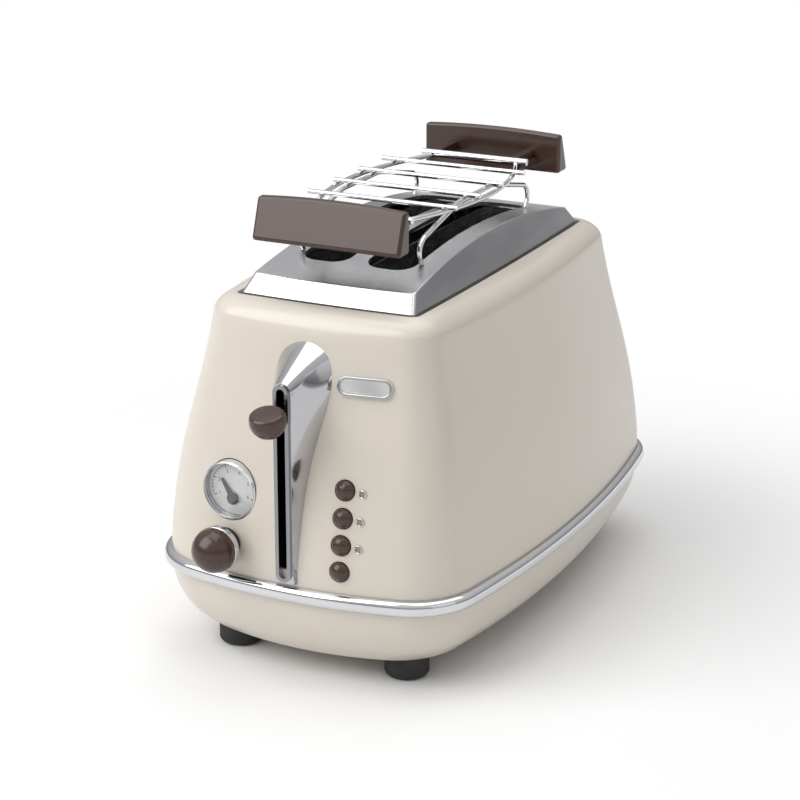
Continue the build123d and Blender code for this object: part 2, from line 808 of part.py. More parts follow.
# Bread lifts: a strip under each slot with cross fingers
LIFT_TOP_Z = CARRIAGE_TOP_Z - 6
with BuildPart() as bread_lifts:
    finger_half = SLOT_CENTRE - (GUIDE_INNER_X + GUIDE_TRAVEL + GUIDE_RAIL_R) - LIFT_FINGER_GAP
    for sx in (-1, 1):
        centre = sx * SLOT_CENTRE
        box_between(
            (centre - LIFT_THICKNESS / 2, -CARRIAGE_BACK, LIFT_TOP_Z - LIFT_HEIGHT),
            (centre + LIFT_THICKNESS / 2, CHASSIS_OUT + 1.5, LIFT_TOP_Z),
        )
        for n in range(LIFT_FINGERS):
            y = (n - (LIFT_FINGERS - 1) / 2) * LIFT_FINGER_PITCH
            box_between(
                (centre - finger_half, y - 1.5, LIFT_TOP_Z - 2.5),
                (centre + finger_half, y + 1.5, LIFT_TOP_Z),
            )
finish(bread_lifts, "bread_lifts")

# Lever arm out through the front, and its knob
ARM_END = LEVER_KNOB_Y - 4
with BuildPart() as lever_arm:
    box_between(
        (-LEVER_ARM_THICKNESS / 2, -ARM_END, LEVER_Z - LEVER_ARM_HEIGHT / 2),
        (LEVER_ARM_THICKNESS / 2, -CARRIAGE_FRONT, LEVER_Z + LEVER_ARM_HEIGHT / 2),
    )
finish(lever_arm, "lever_arm")

with BuildPart() as lever_knob:
    with Locations((0, -LEVER_KNOB_Y, LEVER_Z)):
        Sphere(LEVER_KNOB_R)
    knob_top = Plane((0, -LEVER_KNOB_Y, LEVER_Z)).rotated((LEVER_KNOB_TILT, 0, 0)).offset(LEVER_KNOB_CUT)
    split(bisect_by=knob_top, keep=Keep.BOTTOM)
    fillet(lever_knob.edges().sort_by(Axis.Z)[-1], 0.8)
    box_between(
        (-LEVER_ARM_THICKNESS / 2 - 0.1, -ARM_END - 0.1, LEVER_Z - LEVER_ARM_HEIGHT / 2 - 0.1),
        (LEVER_ARM_THICKNESS / 2 + 0.1, -CARRIAGE_FRONT, LEVER_Z + LEVER_ARM_HEIGHT / 2 + 0.1),
        mode=Mode.SUBTRACT,
    )
finish(lever_knob, "lever_knob")

# Latch: steel armature on the carriage, magnet on the floor
ARMATURE_Z = LEVER_Z - 1.7
with BuildPart() as latch_armature:
    box_between(
        (MAGNET_X - 4, -CARRIAGE_FRONT - MAGNET_REACH - 6, ARMATURE_Z),
        (MAGNET_X + 4, -CARRIAGE_FRONT, ARMATURE_Z + 1.5),
    )
finish(latch_armature, "latch_armature")

with BuildPart() as latch_magnet:
    magnet_y = -CARRIAGE_FRONT - MAGNET_REACH
    core_top = ARMATURE_Z - LEVER_TRAVEL - 0.3
    rod_z(MAGNET_X, magnet_y, FLOOR_TOP_Z, FLOOR_TOP_Z + 1.5, 8.0)
    rod_z(MAGNET_X, magnet_y, FLOOR_TOP_Z + 1.5, core_top - 3.5, 6.5)
    rod_z(MAGNET_X, magnet_y, core_top - 3.5, core_top - 2, 8.0)
    rod_z(MAGNET_X, magnet_y, core_top - 2, core_top, 3.0)
finish(latch_magnet, "latch_magnet")

# Lever plate: a chromed fin from a teardrop on the shell to a narrow upright front
with BuildPart() as lever_plate:
    lean = math.degrees(math.atan(PLATE_LEAN))
    front = Plane.XZ.offset(PLATE_FRONT_Y)
    root_y = -face_y(0, PLATE_LOW_Z) + PLATE_SINK
    root = Plane(origin=(0, root_y, PLATE_LOW_Z), x_dir=(1, 0, 0), z_dir=(0, -1, 0)).rotated((-lean, 0, 0))
    stretch = 1 / math.cos(math.radians(lean))
    ridge_x = PLATE_ROUND_R * math.cos(math.radians(PLATE_RIDGE_ANGLE))
    ridge_z = PLATE_ROUND_Z + PLATE_ROUND_R * math.sin(math.radians(PLATE_RIDGE_ANGLE))

    def on_root(x, z):
        """Point of the teardrop, on the leaning plane."""
        return (x, (z - PLATE_LOW_Z) * stretch)

    with BuildSketch(root) as teardrop:
        with BuildLine():
            Line(on_root(-PLATE_FOOT_HALF_WIDTH, PLATE_LOW_Z), on_root(PLATE_FOOT_HALF_WIDTH, PLATE_LOW_Z))
            Spline(
                on_root(PLATE_FOOT_HALF_WIDTH, PLATE_LOW_Z),
                on_root(8.4, 85),
                on_root(11.2, 114),
                on_root(PLATE_ROUND_R - 0.4, 137),
                on_root(PLATE_ROUND_R, PLATE_ROUND_Z),
                on_root(ridge_x, ridge_z),
                tangents=((0, 1), (-math.sin(math.radians(PLATE_RIDGE_ANGLE)), math.cos(math.radians(PLATE_RIDGE_ANGLE)))),
            )
            ThreePointArc(
                on_root(ridge_x, ridge_z),
                on_root(0, PLATE_ROUND_Z + PLATE_ROUND_R),
                on_root(-ridge_x, ridge_z),
            )
            Spline(
                on_root(-ridge_x, ridge_z),
                on_root(-PLATE_ROUND_R, PLATE_ROUND_Z),
                on_root(-PLATE_ROUND_R + 0.4, 137),
                on_root(-11.2, 114),
                on_root(-8.4, 85),
                on_root(-PLATE_FOOT_HALF_WIDTH, PLATE_LOW_Z),
                tangents=((-math.sin(math.radians(PLATE_RIDGE_ANGLE)), -math.cos(math.radians(PLATE_RIDGE_ANGLE))), (0, -1)),
            )
        make_face()
    with BuildSketch(front) as strip:
        with BuildLine():
            arc_z = PLATE_SLOT_TOP_Z - PLATE_HALF_WIDTH
            Line((-PLATE_HALF_WIDTH, PLATE_LOW_Z), (PLATE_HALF_WIDTH, PLATE_LOW_Z))
            Line((PLATE_HALF_WIDTH, PLATE_LOW_Z), (PLATE_HALF_WIDTH, arc_z))
            ThreePointArc(
                (PLATE_HALF_WIDTH, arc_z),
                (0, PLATE_SLOT_TOP_Z),
                (-PLATE_HALF_WIDTH, arc_z),
            )
            Line((-PLATE_HALF_WIDTH, arc_z), (-PLATE_HALF_WIDTH, PLATE_LOW_Z))
        make_face()
    loft(sections=[teardrop.sketch, strip.sketch], ruled=True)
    add(shell_form(0.05), mode=Mode.SUBTRACT)
    slot_half = LEVER_SLOT_WIDTH / 2
    slot_low = PLATE_LOW_Z + PLATE_HALF_WIDTH - slot_half
    slot_high = PLATE_SLOT_TOP_Z - PLATE_HALF_WIDTH + slot_half
    box_between(
        (-slot_half, -PLATE_FRONT_Y - 5, slot_low),
        (slot_half, 0, slot_high),
        mode=Mode.SUBTRACT,
    )
finish(lever_plate, "lever_plate")

# Thin frame around the lever's slot
with BuildPart() as lever_slot_frame:
    frame_mid = (slot_low + slot_high) / 2
    with BuildSketch(Plane.XZ.offset(PLATE_FRONT_Y)) as frame_face:
        with Locations((0, frame_mid)):
            SlotOverall(slot_high - slot_low + SLOT_FRAME_WIDTH - LEVER_SLOT_WIDTH, SLOT_FRAME_WIDTH, rotation=90)
            SlotOverall(slot_high - slot_low, LEVER_SLOT_WIDTH, rotation=90, mode=Mode.SUBTRACT)
    extrude(frame_face.sketch, amount=SLOT_FRAME_PROUD)
finish(lever_slot_frame, "lever_slot_frame")

# Blank badge plate that follows the shell
with BuildPart() as badge_plate:
    with BuildSketch(Plane.XZ.offset(BODY_HALF_LENGTH / 2)) as badge_face:
        with Locations((BADGE_X, BADGE_Z)):
            SlotOverall(BADGE_WIDTH, BADGE_HEIGHT)
    extrude(badge_face.sketch, amount=BODY_HALF_LENGTH)
    add(shell_form(BADGE_THICKNESS), mode=Mode.INTERSECT)
    add(shell_form(0.03), mode=Mode.SUBTRACT)
finish(badge_plate, "badge_plate")


def gear(x, z, teeth, phase):
    """Flat toothed wheel in the gear plane, with a tooth at the phase angle."""
    radius = GEAR_MODULE * teeth / 2
    root_r = radius - 1.2 * GEAR_MODULE
    tip_r = radius + 0.85 * GEAR_MODULE
    with BuildSketch(Plane.XZ.offset(GEAR_BACK_Y)) as wheel:
        with Locations((x, z)):
            Circle(root_r)
            with PolarLocations(0, teeth, start_angle=phase):
                Polygon(
                    (root_r - 0.5, -0.8 * GEAR_MODULE),
                    (root_r - 0.5, 0.8 * GEAR_MODULE),
                    (root_r, 0.78 * GEAR_MODULE),
                    (tip_r, 0.26 * GEAR_MODULE),
                    (tip_r, -0.26 * GEAR_MODULE),
                    (root_r, -0.78 * GEAR_MODULE),
                    align=None,
                )
    extrude(wheel.sketch, amount=GEAR_THICKNESS)


# Browning control: rotary switch, shaft with its gear, knob and ring
SWITCH_FRONT_Y = GEAR_BACK_Y - 0.6
SWITCH_BACK_Y = SWITCH_FRONT_Y - 12
BRACKET_BACK_Y = SWITCH_BACK_Y - SHEET
with BuildPart() as browning_switch:
    rod_y(LEFT_X, KNOB_Z, SWITCH_BACK_Y, SWITCH_FRONT_Y, 8.0)
    rod_y(
        LEFT_X,
        KNOB_Z,
        SWITCH_FRONT_Y - 6,
        SWITCH_FRONT_Y + 1,
        KNOB_SHAFT_R + SHAFT_FIT,
        mode=Mode.SUBTRACT,
    )
finish(browning_switch, "browning_switch")

with BuildPart() as browning_shaft:
    rod_y(LEFT_X, KNOB_Z, SWITCH_FRONT_Y - 5.7, KNOB_BACK_Y + 5, KNOB_SHAFT_R)
    rod_y(
        LEFT_X,
        KNOB_Z,
        face_y(LEFT_X, KNOB_Z) + 1.6,
        KNOB_BACK_Y - KNOB_RING_THICKNESS,
        KNOB_HUB_R,
    )
    gear(LEFT_X, KNOB_Z, KNOB_TEETH, 90)
finish(browning_shaft, "browning_shaft")

with BuildPart() as knob_ring:
    rod_y(LEFT_X, KNOB_Z, KNOB_BACK_Y - KNOB_RING_THICKNESS, KNOB_BACK_Y, KNOB_RING_R)
    fillet(knob_ring.edges(), 0.6)
    rod_y(
        LEFT_X,
        KNOB_Z,
        KNOB_BACK_Y - KNOB_RING_THICKNESS - 1,
        KNOB_BACK_Y + 1,
        KNOB_SHAFT_R,
        mode=Mode.SUBTRACT,
    )
finish(knob_ring, "knob_ring")

with BuildPart() as browning_knob:
    with Locations((LEFT_X, -KNOB_CENTRE_Y, KNOB_Z)):
        Sphere(KNOB_R)
    box_between(
        (LEFT_X - 20, -KNOB_BACK_Y, KNOB_Z - 20),
        (LEFT_X + 20, -KNOB_BACK_Y + 20, KNOB_Z + 20),
        mode=Mode.SUBTRACT,
    )
    rod_y(LEFT_X, KNOB_Z, KNOB_BACK_Y - 1, KNOB_BACK_Y + 5, KNOB_SHAFT_R, mode=Mode.SUBTRACT)
finish(browning_knob, "browning_knob")

# Steel bracket that carries the rotary switch
with BuildPart() as switch_bracket:
    box_between(
        (LEFT_X - 18, -BRACKET_BACK_Y - SHEET, FLOOR_TOP_Z),
        (LEFT_X + 18, -BRACKET_BACK_Y, NEEDLE_Z + 12),
    )
    box_between(
        (LEFT_X - 18, -BRACKET_BACK_Y - SHEET, FLOOR_TOP_Z),
        (LEFT_X + 8, -BRACKET_BACK_Y + 8, FLOOR_TOP_Z + SHEET),
    )
finish(switch_bracket, "switch_bracket")

# Gauge: cup, dial, needle with its gear, glass and bezel
CUP_BACK_Y = GEAR_FRONT_Y + 0.5
DIAL_Y = GAUGE_FRONT_Y - 3.6
with BuildPart() as gauge_cup:
    rod_y(LEFT_X, GAUGE_Z, CUP_BACK_Y, GAUGE_FRONT_Y - 0.8, GAUGE_R)
    rod_y(LEFT_X, GAUGE_Z, DIAL_Y - 0.6, GAUGE_FRONT_Y + 1, GAUGE_R - 1, mode=Mode.SUBTRACT)
    rod_y(LEFT_X, NEEDLE_Z, CUP_BACK_Y - 1, GAUGE_FRONT_Y, 1.2 + SHAFT_FIT, mode=Mode.SUBTRACT)
finish(gauge_cup, "gauge_cup")

with BuildPart() as gauge_dial:
    rod_y(LEFT_X, GAUGE_Z, DIAL_Y - 0.6, DIAL_Y, GAUGE_R - 1.1)
    rod_y(LEFT_X, NEEDLE_Z, DIAL_Y - 1, DIAL_Y + 1, 1.6, mode=Mode.SUBTRACT)
finish(gauge_dial, "gauge_dial")

with BuildPart() as gauge_needle:
    rod_y(LEFT_X, NEEDLE_Z, DIAL_Y + 0.6, DIAL_Y + 1.5, 2.6)
    with BuildSketch(Plane.XZ.offset(DIAL_Y + 0.6)) as pointer:
        with Locations(Location((LEFT_X, NEEDLE_Z, 0), (0, 0, 90 + NEEDLE_ANGLE))):
            Polygon(
                (-4.5, -0.7),
                (-4.5, 0.7),
                (0, 1.1),
                (NEEDLE_LENGTH, 0.25),
                (NEEDLE_LENGTH, -0.25),
                (0, -1.1),
                align=None,
            )
    extrude(pointer.sketch, amount=0.5)
    rod_y(LEFT_X, NEEDLE_Z, GEAR_BACK_Y, DIAL_Y + 1, 1.2)
finish(gauge_needle, "gauge_needle")

with BuildPart() as needle_gear:
    gear(LEFT_X, NEEDLE_Z, NEEDLE_TEETH, 270 + 180 / NEEDLE_TEETH)
    rod_y(LEFT_X, NEEDLE_Z, GEAR_BACK_Y - 1, GEAR_FRONT_Y + 1, 1.2, mode=Mode.SUBTRACT)
finish(needle_gear, "needle_gear")

with BuildPart() as gauge_glass:
    glass_y = GAUGE_FRONT_Y - 0.8
    dome_y(LEFT_X, GAUGE_Z, glass_y, glass_y + 0.8, glass_y + 2.3, GAUGE_R - 1.2)
finish(gauge_glass, "gauge_glass")

with BuildPart() as gauge_bezel:
    rod_y(LEFT_X, GAUGE_Z, GAUGE_FRONT_Y - 0.8, GAUGE_FRONT_Y + 1.8, GAUGE_R)
    fillet(gauge_bezel.edges().group_by(Axis.Y)[0], 0.7)
    rod_y(LEFT_X, GAUGE_Z, GAUGE_FRONT_Y - 2, GAUGE_FRONT_Y + 3, GAUGE_R - 1.1, mode=Mode.SUBTRACT)
finish(gauge_bezel, "gauge_bezel")

# Push buttons
STEM_BACK_Y = BOARD_FRONT_Y + 4 + BUTTON_TRAVEL + 0.3


def push_button(z, label):
    """Domed button on a stem with a stop collar behind the shell."""
    face = face_y(BUTTON_X, z)
    with BuildPart() as button:
        rod_y(BUTTON_X, z, STEM_BACK_Y, face - 1.5, BUTTON_STEM_R)
        rod_y(BUTTON_X, z, face - SHELL_WALL - 3.6, face - SHELL_WALL - 2.4, BUTTON_R + 0.6)
        dome_y(BUTTON_X, z, face - 2, face + 0.4, face + BUTTON_PROUD, BUTTON_R)
    finish(button, label)


for button_z, button_name in zip(BUTTON_Z, BUTTON_NAMES):
    push_button(button_z, button_name)

# Guide plate that carries the buttons and the light pipes
GUIDE_PLATE_Y = STEM_BACK_Y + 2
with BuildPart() as button_guide:
    box_between(
        (BUTTON_X - 9, -GUIDE_PLATE_Y - 2, FLOOR_TOP_Z),
        (LED_X + 5, -GUIDE_PLATE_Y, BUTTON_Z[0] + 8),
    )
    for button_z in BUTTON_Z:
        rod_y(
            BUTTON_X,
            button_z,
            GUIDE_PLATE_Y - 1,
            GUIDE_PLATE_Y + 3,
            BUTTON_STEM_R + SHAFT_FIT,
            mode=Mode.SUBTRACT,
        )
    for led_z in LED_Z:
        rod_y(LED_X, led_z, GUIDE_PLATE_Y - 1, GUIDE_PLATE_Y + 3, 1.4, mode=Mode.SUBTRACT)
finish(button_guide, "button_guide")

# Control board with its key switches
with BuildPart() as control_board:
    box_between(
        (BUTTON_X - 12, -BOARD_FRONT_Y, FLOOR_TOP_Z),
        (LED_X + 13, -BOARD_FRONT_Y + 1.6, BUTTON_Z[0] + 10),
    )
finish(control_board, "control_board")

with BuildPart() as key_switches:
    for button_z in BUTTON_Z:
        box_between(
            (BUTTON_X - 3, -BOARD_FRONT_Y - 4, button_z - 3),
            (BUTTON_X + 3, -BOARD_FRONT_Y, button_z + 3),
        )
finish(key_switches, "key_switches")

with BuildPart() as light_pipes:
    for led_z in LED_Z:
        rod_y(LED_X, led_z, BOARD_FRONT_Y, face_y(LED_X, led_z) + 0.2, 1.3)
finish(light_pipes, "light_pipes")

with BuildPart() as light_rings:
    for led_z in LED_Z:
        near = face_y(LED_X, led_z) - SHELL_WALL
        rod_y(LED_X, led_z, near, near + SHELL_WALL + 0.8, LED_R)
        rod_y(LED_X, led_z, near - 1, near + SHELL_WALL + 2, 1.4, mode=Mode.SUBTRACT)
finish(light_rings, "light_rings")

# Crumb tray that draws out at the back
TRAY_BACK = BODY_HALF_LENGTH - 14
with BuildPart() as crumb_tray:
    box_between(
        (-TRAY_HALF_WIDTH, -TRAY_FRONT, TRAY_FLOOR_Z),
        (TRAY_HALF_WIDTH, TRAY_BACK, TRAY_FLOOR_Z + TRAY_RIM),
    )
    box_between(
        (-TRAY_HALF_WIDTH + TRAY_SHEET, -TRAY_FRONT + TRAY_SHEET, TRAY_FLOOR_Z + TRAY_SHEET),
        (TRAY_HALF_WIDTH - TRAY_SHEET, TRAY_BACK - 2, TRAY_FLOOR_Z + TRAY_RIM + 1),
        mode=Mode.SUBTRACT,
    )
    with BuildPart(mode=Mode.PRIVATE) as tray_front_panel:
        box_between(
            (-TRAY_HALF_WIDTH, TRAY_BACK - 2, TRAY_FLOOR_Z),
            (TRAY_HALF_WIDTH, BODY_HALF_LENGTH + 10, TRAY_FLOOR_Z + TRAY_HANDLE_HEIGHT),
        )
        add(base_outside, mode=Mode.INTERSECT)
    add(tray_front_panel.part)
    box_between(
        (-TRAY_PULL_HALF, TRAY_BACK, TRAY_FLOOR_Z + TRAY_HANDLE_HEIGHT - 2.5),
        (TRAY_PULL_HALF, BODY_HALF_LENGTH + 2, TRAY_FLOOR_Z + TRAY_HANDLE_HEIGHT),
    )
finish(crumb_tray, "crumb_tray")

with BuildPart() as tray_runners:
    for sx in (-1, 1):
        inner = TRAY_HALF_WIDTH - 4
        outer = TRAY_HALF_WIDTH + TRAY_GAP
        low_corner = (min(sx * inner, sx * (outer + 2)), -TRAY_FRONT, BASE_FLOOR_Z)
        high_corner = (max(sx * inner, sx * (outer + 2)), RUNNER_END, TRAY_FLOOR_Z - 0.3)
        box_between(low_corner, high_corner)
        low_corner = (min(sx * outer, sx * (outer + 2)), -TRAY_FRONT, BASE_FLOOR_Z)
        high_corner = (max(sx * outer, sx * (outer + 2)), RUNNER_END, TRAY_FLOOR_Z + 4)
        box_between(low_corner, high_corner)
finish(tray_runners, "tray_runners")

# Feet, shaped to the bowl above them, and their screws
with BuildPart() as feet:
    for sx in (-1, 1):
        for sy in (-1, 1):
            rod_z(sx * FOOT_X, sy * FOOT_Y, 0, FOOT_HEIGHT + 12, FOOT_R)
    fillet(feet.edges().group_by(Axis.Z)[0], FOOT_EDGE_R)
    add(base_outside, mode=Mode.SUBTRACT)
    box_between(
        (-BODY_HALF_WIDTH, -BODY_HALF_LENGTH, FOOT_HEIGHT + 6),
        (BODY_HALF_WIDTH, BODY_HALF_LENGTH, FOOT_HEIGHT + 30),
        mode=Mode.SUBTRACT,
    )
    for sx in (-1, 1):
        for sy in (-1, 1):
            rod_z(
                sx * FOOT_X,
                sy * FOOT_Y,
                FOOT_SCREW_LOW_Z,
                FOOT_HEIGHT + 12,
                FOOT_SCREW_R + 0.05,
                mode=Mode.SUBTRACT,
            )
finish(feet, "feet")

with BuildPart() as foot_screws:
    for sx in (-1, 1):
        for sy in (-1, 1):
            rod_z(sx * FOOT_X, sy * FOOT_Y, FOOT_SCREW_LOW_Z, FOOT_BOSS_Z, FOOT_SCREW_R)
            rod_z(sx * FOOT_X, sy * FOOT_Y, FOOT_BOSS_Z, FOOT_BOSS_Z + 2.4, 3.8)
finish(foot_screws, "foot_screws")

with BuildPart() as cover_screws:
    for sx in (-1, 1):
        for sy in (-1, 1):
            x = sx * COVER_POST_X
            y = sy * COVER_POST_Y
            rod_z(x, y, TOP_PLATE_Z - SHEET, TOP_PLATE_Z + 10, SCREW_R)
            rod_z(x, y, TOP_PLATE_Z - SHEET - 2, TOP_PLATE_Z - SHEET, 2.8)
finish(cover_screws, "cover_screws")

# Cord inlet at the back of the base, and the terminal block inside
with BuildPart() as cord_gland:
    gland_far = -(BODY_HALF_LENGTH - 5)
    rod_y(GLAND_X, GLAND_Z, gland_far, gland_far + GLAND_LENGTH, GLAND_R + 2)
    add(base_outside, mode=Mode.SUBTRACT)
    rod_y(GLAND_X, GLAND_Z, gland_far, gland_far + GLAND_LENGTH, GLAND_R)
    rod_y(
        GLAND_X,
        GLAND_Z,
        gland_far - 1,
        gland_far + GLAND_LENGTH + 1,
        GLAND_BORE_R,
        mode=Mode.SUBTRACT,
    )
finish(cord_gland, "cord_gland")

with BuildPart() as terminal_block:
    box_between((-42, 88, FLOOR_TOP_Z), (-18, 100, FLOOR_TOP_Z + 12))
    for x in (-36, -30, -24):
        rod_z(x, 94, FLOOR_TOP_Z + 6, FLOOR_TOP_Z + 14, 1.8, mode=Mode.SUBTRACT)
finish(terminal_block, "terminal_block")

# Warming rack: cross bars, two bowed rails, two leg wires
with BuildPart() as rack_bars:
    for n in range(4):
        y = (n - 1.5) * RACK_PITCH
        with BuildSketch(Plane.YZ.offset(-RACK_BAR_HALF)) as bar_end:
            with Locations((y, RACK_BAR_Z)):
                Circle(RACK_BAR_R)
        extrude(bar_end.sketch, amount=2 * RACK_BAR_HALF)
    for y in (-RACK_END_Y, RACK_END_Y):
        with BuildSketch(Plane.YZ.offset(-RACK_END_HALF)) as thick_end:
            with Locations((y, RACK_END_Z)):
                Circle(RACK_END_R)
        extrude(thick_end.sketch, amount=2 * RACK_END_HALF)
finish(rack_bars, "rack_bars")

RAIL_Z = RACK_BAR_Z - 2 * RACK_BAR_R + 0.1
RAIL_END_Y = RACK_END_Y - RACK_END_R - 0.4
with BuildPart() as rack_rails:
    for sx in (-1, 1):
        with BuildLine() as rail_path:
            ThreePointArc(
                (sx * RAIL_END_X, -RAIL_END_Y, RAIL_Z),
                (sx * RAIL_MID_X, 0, RAIL_Z),
                (sx * RAIL_END_X, RAIL_END_Y, RAIL_Z),
            )
        with BuildSketch(Plane(rail_path.line @ 0, z_dir=rail_path.line % 0)):
            Circle(RACK_BAR_R)
        sweep(path=rail_path.line)
finish(rack_rails, "rack_rails")

with BuildPart() as rack_legs:
    foot_z = arch_z(LEG_FOOT_Y) + 0.05
    for sx in (-1, 1):
        with BuildLine() as leg_path:
            FilletPolyline(
                (sx * LEG_X, -LEG_FOOT_Y, foot_z),
                (sx * LEG_X, -LEG_BELLY_Y, LEG_BELLY_Z),
                (sx * LEG_X, -LEG_SHOULDER_Y, LEG_SHOULDER_Z),
                (sx * LEG_X, -LEG_FLAT_Y, RAIL_Z),
                (sx * LEG_X, LEG_FLAT_Y, RAIL_Z),
                (sx * LEG_X, LEG_SHOULDER_Y, LEG_SHOULDER_Z),
                (sx * LEG_X, LEG_BELLY_Y, LEG_BELLY_Z),
                (sx * LEG_X, LEG_FOOT_Y, foot_z),
                radius=(6, 5, 24, 24, 5, 6),
            )
        with BuildSketch(Plane(leg_path.line @ 0, z_dir=leg_path.line % 0)):
            Circle(RACK_BAR_R)
        sweep(path=leg_path.line)
    box_between((-60, -100, foot_z - 5), (60, 100, foot_z + 0.2), mode=Mode.SUBTRACT)
finish(rack_legs, "rack_legs")


def rack_handle(side, label):
    """Wedge handle with a tongue under the thick bar and two lugs against it."""
    with BuildPart() as handle:
        with BuildSketch(Plane.YZ.offset(-HANDLE_HALF)) as wedge:
            with BuildLine():
                Polyline(
                    (side * HANDLE_Y, HANDLE_LOW_Z),
                    (side * (HANDLE_Y + HANDLE_LOW_THICKNESS), HANDLE_LOW_Z),
                    (side * (HANDLE_Y + HANDLE_TOP_THICKNESS), HANDLE_HIGH_Z + HANDLE_ARCH),
                    (side * HANDLE_Y, HANDLE_HIGH_Z + HANDLE_ARCH),
                    close=True,
                )
            make_face()
        extrude(wedge.sketch, amount=2 * HANDLE_HALF)
        with BuildSketch(Plane.XZ) as arched:
            with BuildLine():
                ThreePointArc(
                    (-HANDLE_HALF, HANDLE_HIGH_Z),
                    (0, HANDLE_HIGH_Z + HANDLE_ARCH),
                    (HANDLE_HALF, HANDLE_HIGH_Z),
                )
                Line((HANDLE_HALF, HANDLE_HIGH_Z), (HANDLE_HALF + 1, HANDLE_LOW_Z))
                Line((HANDLE_HALF + 1, HANDLE_LOW_Z), (-HANDLE_HALF - 1, HANDLE_LOW_Z))
                Line((-HANDLE_HALF - 1, HANDLE_LOW_Z), (-HANDLE_HALF, HANDLE_HIGH_Z))
            make_face()
        extrude(arched.sketch, amount=150, both=True, mode=Mode.INTERSECT)
        fillet(handle.edges(), HANDLE_EDGE_R)
        near = RACK_END_Y
        tongue_z = RACK_END_Z - RACK_END_R
        a, b = side * (near - 2), side * (HANDLE_Y + 2)
        box_between(
            (-HANDLE_TONGUE, min(a, b), tongue_z - 3),
            (HANDLE_TONGUE, max(a, b), tongue_z),
        )
        a, b = side * (near + RACK_END_R), side * (HANDLE_Y + 2)
        for sx in (-1, 1):
            centre = sx * (HANDLE_TONGUE - 5)
            box_between(
                (centre - HANDLE_LUG_WIDTH / 2, min(a, b), tongue_z - 3),
                (centre + HANDLE_LUG_WIDTH / 2, max(a, b), RACK_END_Z + RACK_END_R),
            )
        c, d = side * (near - 3), side * (near - RACK_END_R + 0.1)
        box_between(
            (-HANDLE_TONGUE - 1, min(c, d), tongue_z - 4),
            (-RAIL_END_X + 3, max(c, d), tongue_z + 4),
            mode=Mode.SUBTRACT,
        )
        box_between(
            (RAIL_END_X - 3, min(c, d), tongue_z - 4),
            (HANDLE_TONGUE + 1, max(c, d), tongue_z + 4),
            mode=Mode.SUBTRACT,
        )
    finish(handle, label)


rack_handle(-1, "rack_handle_front")
rack_handle(1, "rack_handle_rear")
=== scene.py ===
import math

import bmesh
import bpy
from mathutils import Matrix, Vector


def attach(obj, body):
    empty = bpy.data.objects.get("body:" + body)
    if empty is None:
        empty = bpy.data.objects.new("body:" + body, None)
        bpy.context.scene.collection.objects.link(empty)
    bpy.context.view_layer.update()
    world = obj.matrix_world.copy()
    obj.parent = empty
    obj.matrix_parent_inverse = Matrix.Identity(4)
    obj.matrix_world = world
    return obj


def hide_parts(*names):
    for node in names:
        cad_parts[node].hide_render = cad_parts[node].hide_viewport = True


bl_info = {
    "name": "Two-slice toaster",
    "version": (1, 0, 0),
    "blender": (4, 5, 0),
    "location": "3D View > Sidebar > Toaster",
    "description": "Surfaces, fine pieces and stage for a two-slice toaster with a warming rack",
    "category": "Object",
}

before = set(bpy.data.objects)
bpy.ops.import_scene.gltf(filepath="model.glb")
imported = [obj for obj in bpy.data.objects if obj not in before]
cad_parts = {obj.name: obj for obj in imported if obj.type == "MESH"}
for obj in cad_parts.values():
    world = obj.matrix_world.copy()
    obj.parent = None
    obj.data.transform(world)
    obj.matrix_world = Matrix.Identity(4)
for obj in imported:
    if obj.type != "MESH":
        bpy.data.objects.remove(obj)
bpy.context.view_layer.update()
MM = 0.001

# Distance in millimetres from the body's middle forward to the part's origin
FRAME_Y = 9.8

# Body form in millimetres: plan at the belt, levels, wall profile
HALF_WIDTH = 88.0
HALF_LENGTH = 141.4
SIDE_BOW = 12.8
END_BOW = 13.4
CORNER_R = 33.0
BASE_LOW = 10.0
BASE_TOP = 43.0
SHELL_LOW = 44.5
SHELL_TOP = 176.0
SHELL_SHARES = (0.0, 0.06, 0.2, 0.35, 0.53, 0.71, 0.88, 1.0)
SHELL_INSETS = (0.0, 0.2, 2.0, 5.1, 10.1, 15.9, 20.8, 23.7)
BASE_SHARES = (0.0, 0.18, 0.36, 0.55, 0.73, 0.88, 0.97, 1.0)
BASE_INSETS = (0.0, 0.4, 1.7, 4.0, 7.6, 12.2, 17.0, 20.5)
SHELL_WALL = 1.6
BASE_WALL = 2.5

# Plan of the shell at its top, its rolled shoulder and the opening for the cover
TOP_SIDE_BOW = 7.5
TOP_END_BOW = 7.0
TOP_CORNER_R = 18.0
END_INSET_RATIO = 1.08
ROLL_R = 9.0
ROLL_SLOPE = 10.5
OPENING = (49.0, 102.0, 1.6, 1.4, 4.0)
OPENING_EDGE_R = 0.8
LIP_WALL = 1.6
LIP_LOW = 6.9
LIP_HIGH = 1.2

# Holes: front ones lie between two distances in front of the middle, back ones behind it
FRONT_CUT = (100, 150)
REAR_CUT = (100, 160)
SLOT_HALF_WIDTH = 3
SLOT_LOW = 58
SLOT_HIGH = 150
GAUGE_GAP = 0.3
SHAFT_HOLE_R = 3.5
BUTTON_GAP = 0.35
LED_GAP = 0.05
TRAY_MOUTH_HALF_WIDTH = 37.4
TRAY_MOUTH_LOW = 20.6
TRAY_MOUTH_HIGH = 32.4
CORD_HOLE_X = -52
CORD_HOLE_Z = 26
CORD_HOLE_R = 6.1

# Belt: levels, how far it stands out, the radius of its edges and how its back sits on the walls
BELT_LOW = 42.5
BELT_HIGH = 50.5
BELT_PROUD = 3.6
BELT_EDGE_R = 3.24
BELT_BACK = -4.0
BELT_LOW_GAP = 0.15
BELT_HIGH_GAP = 0.35

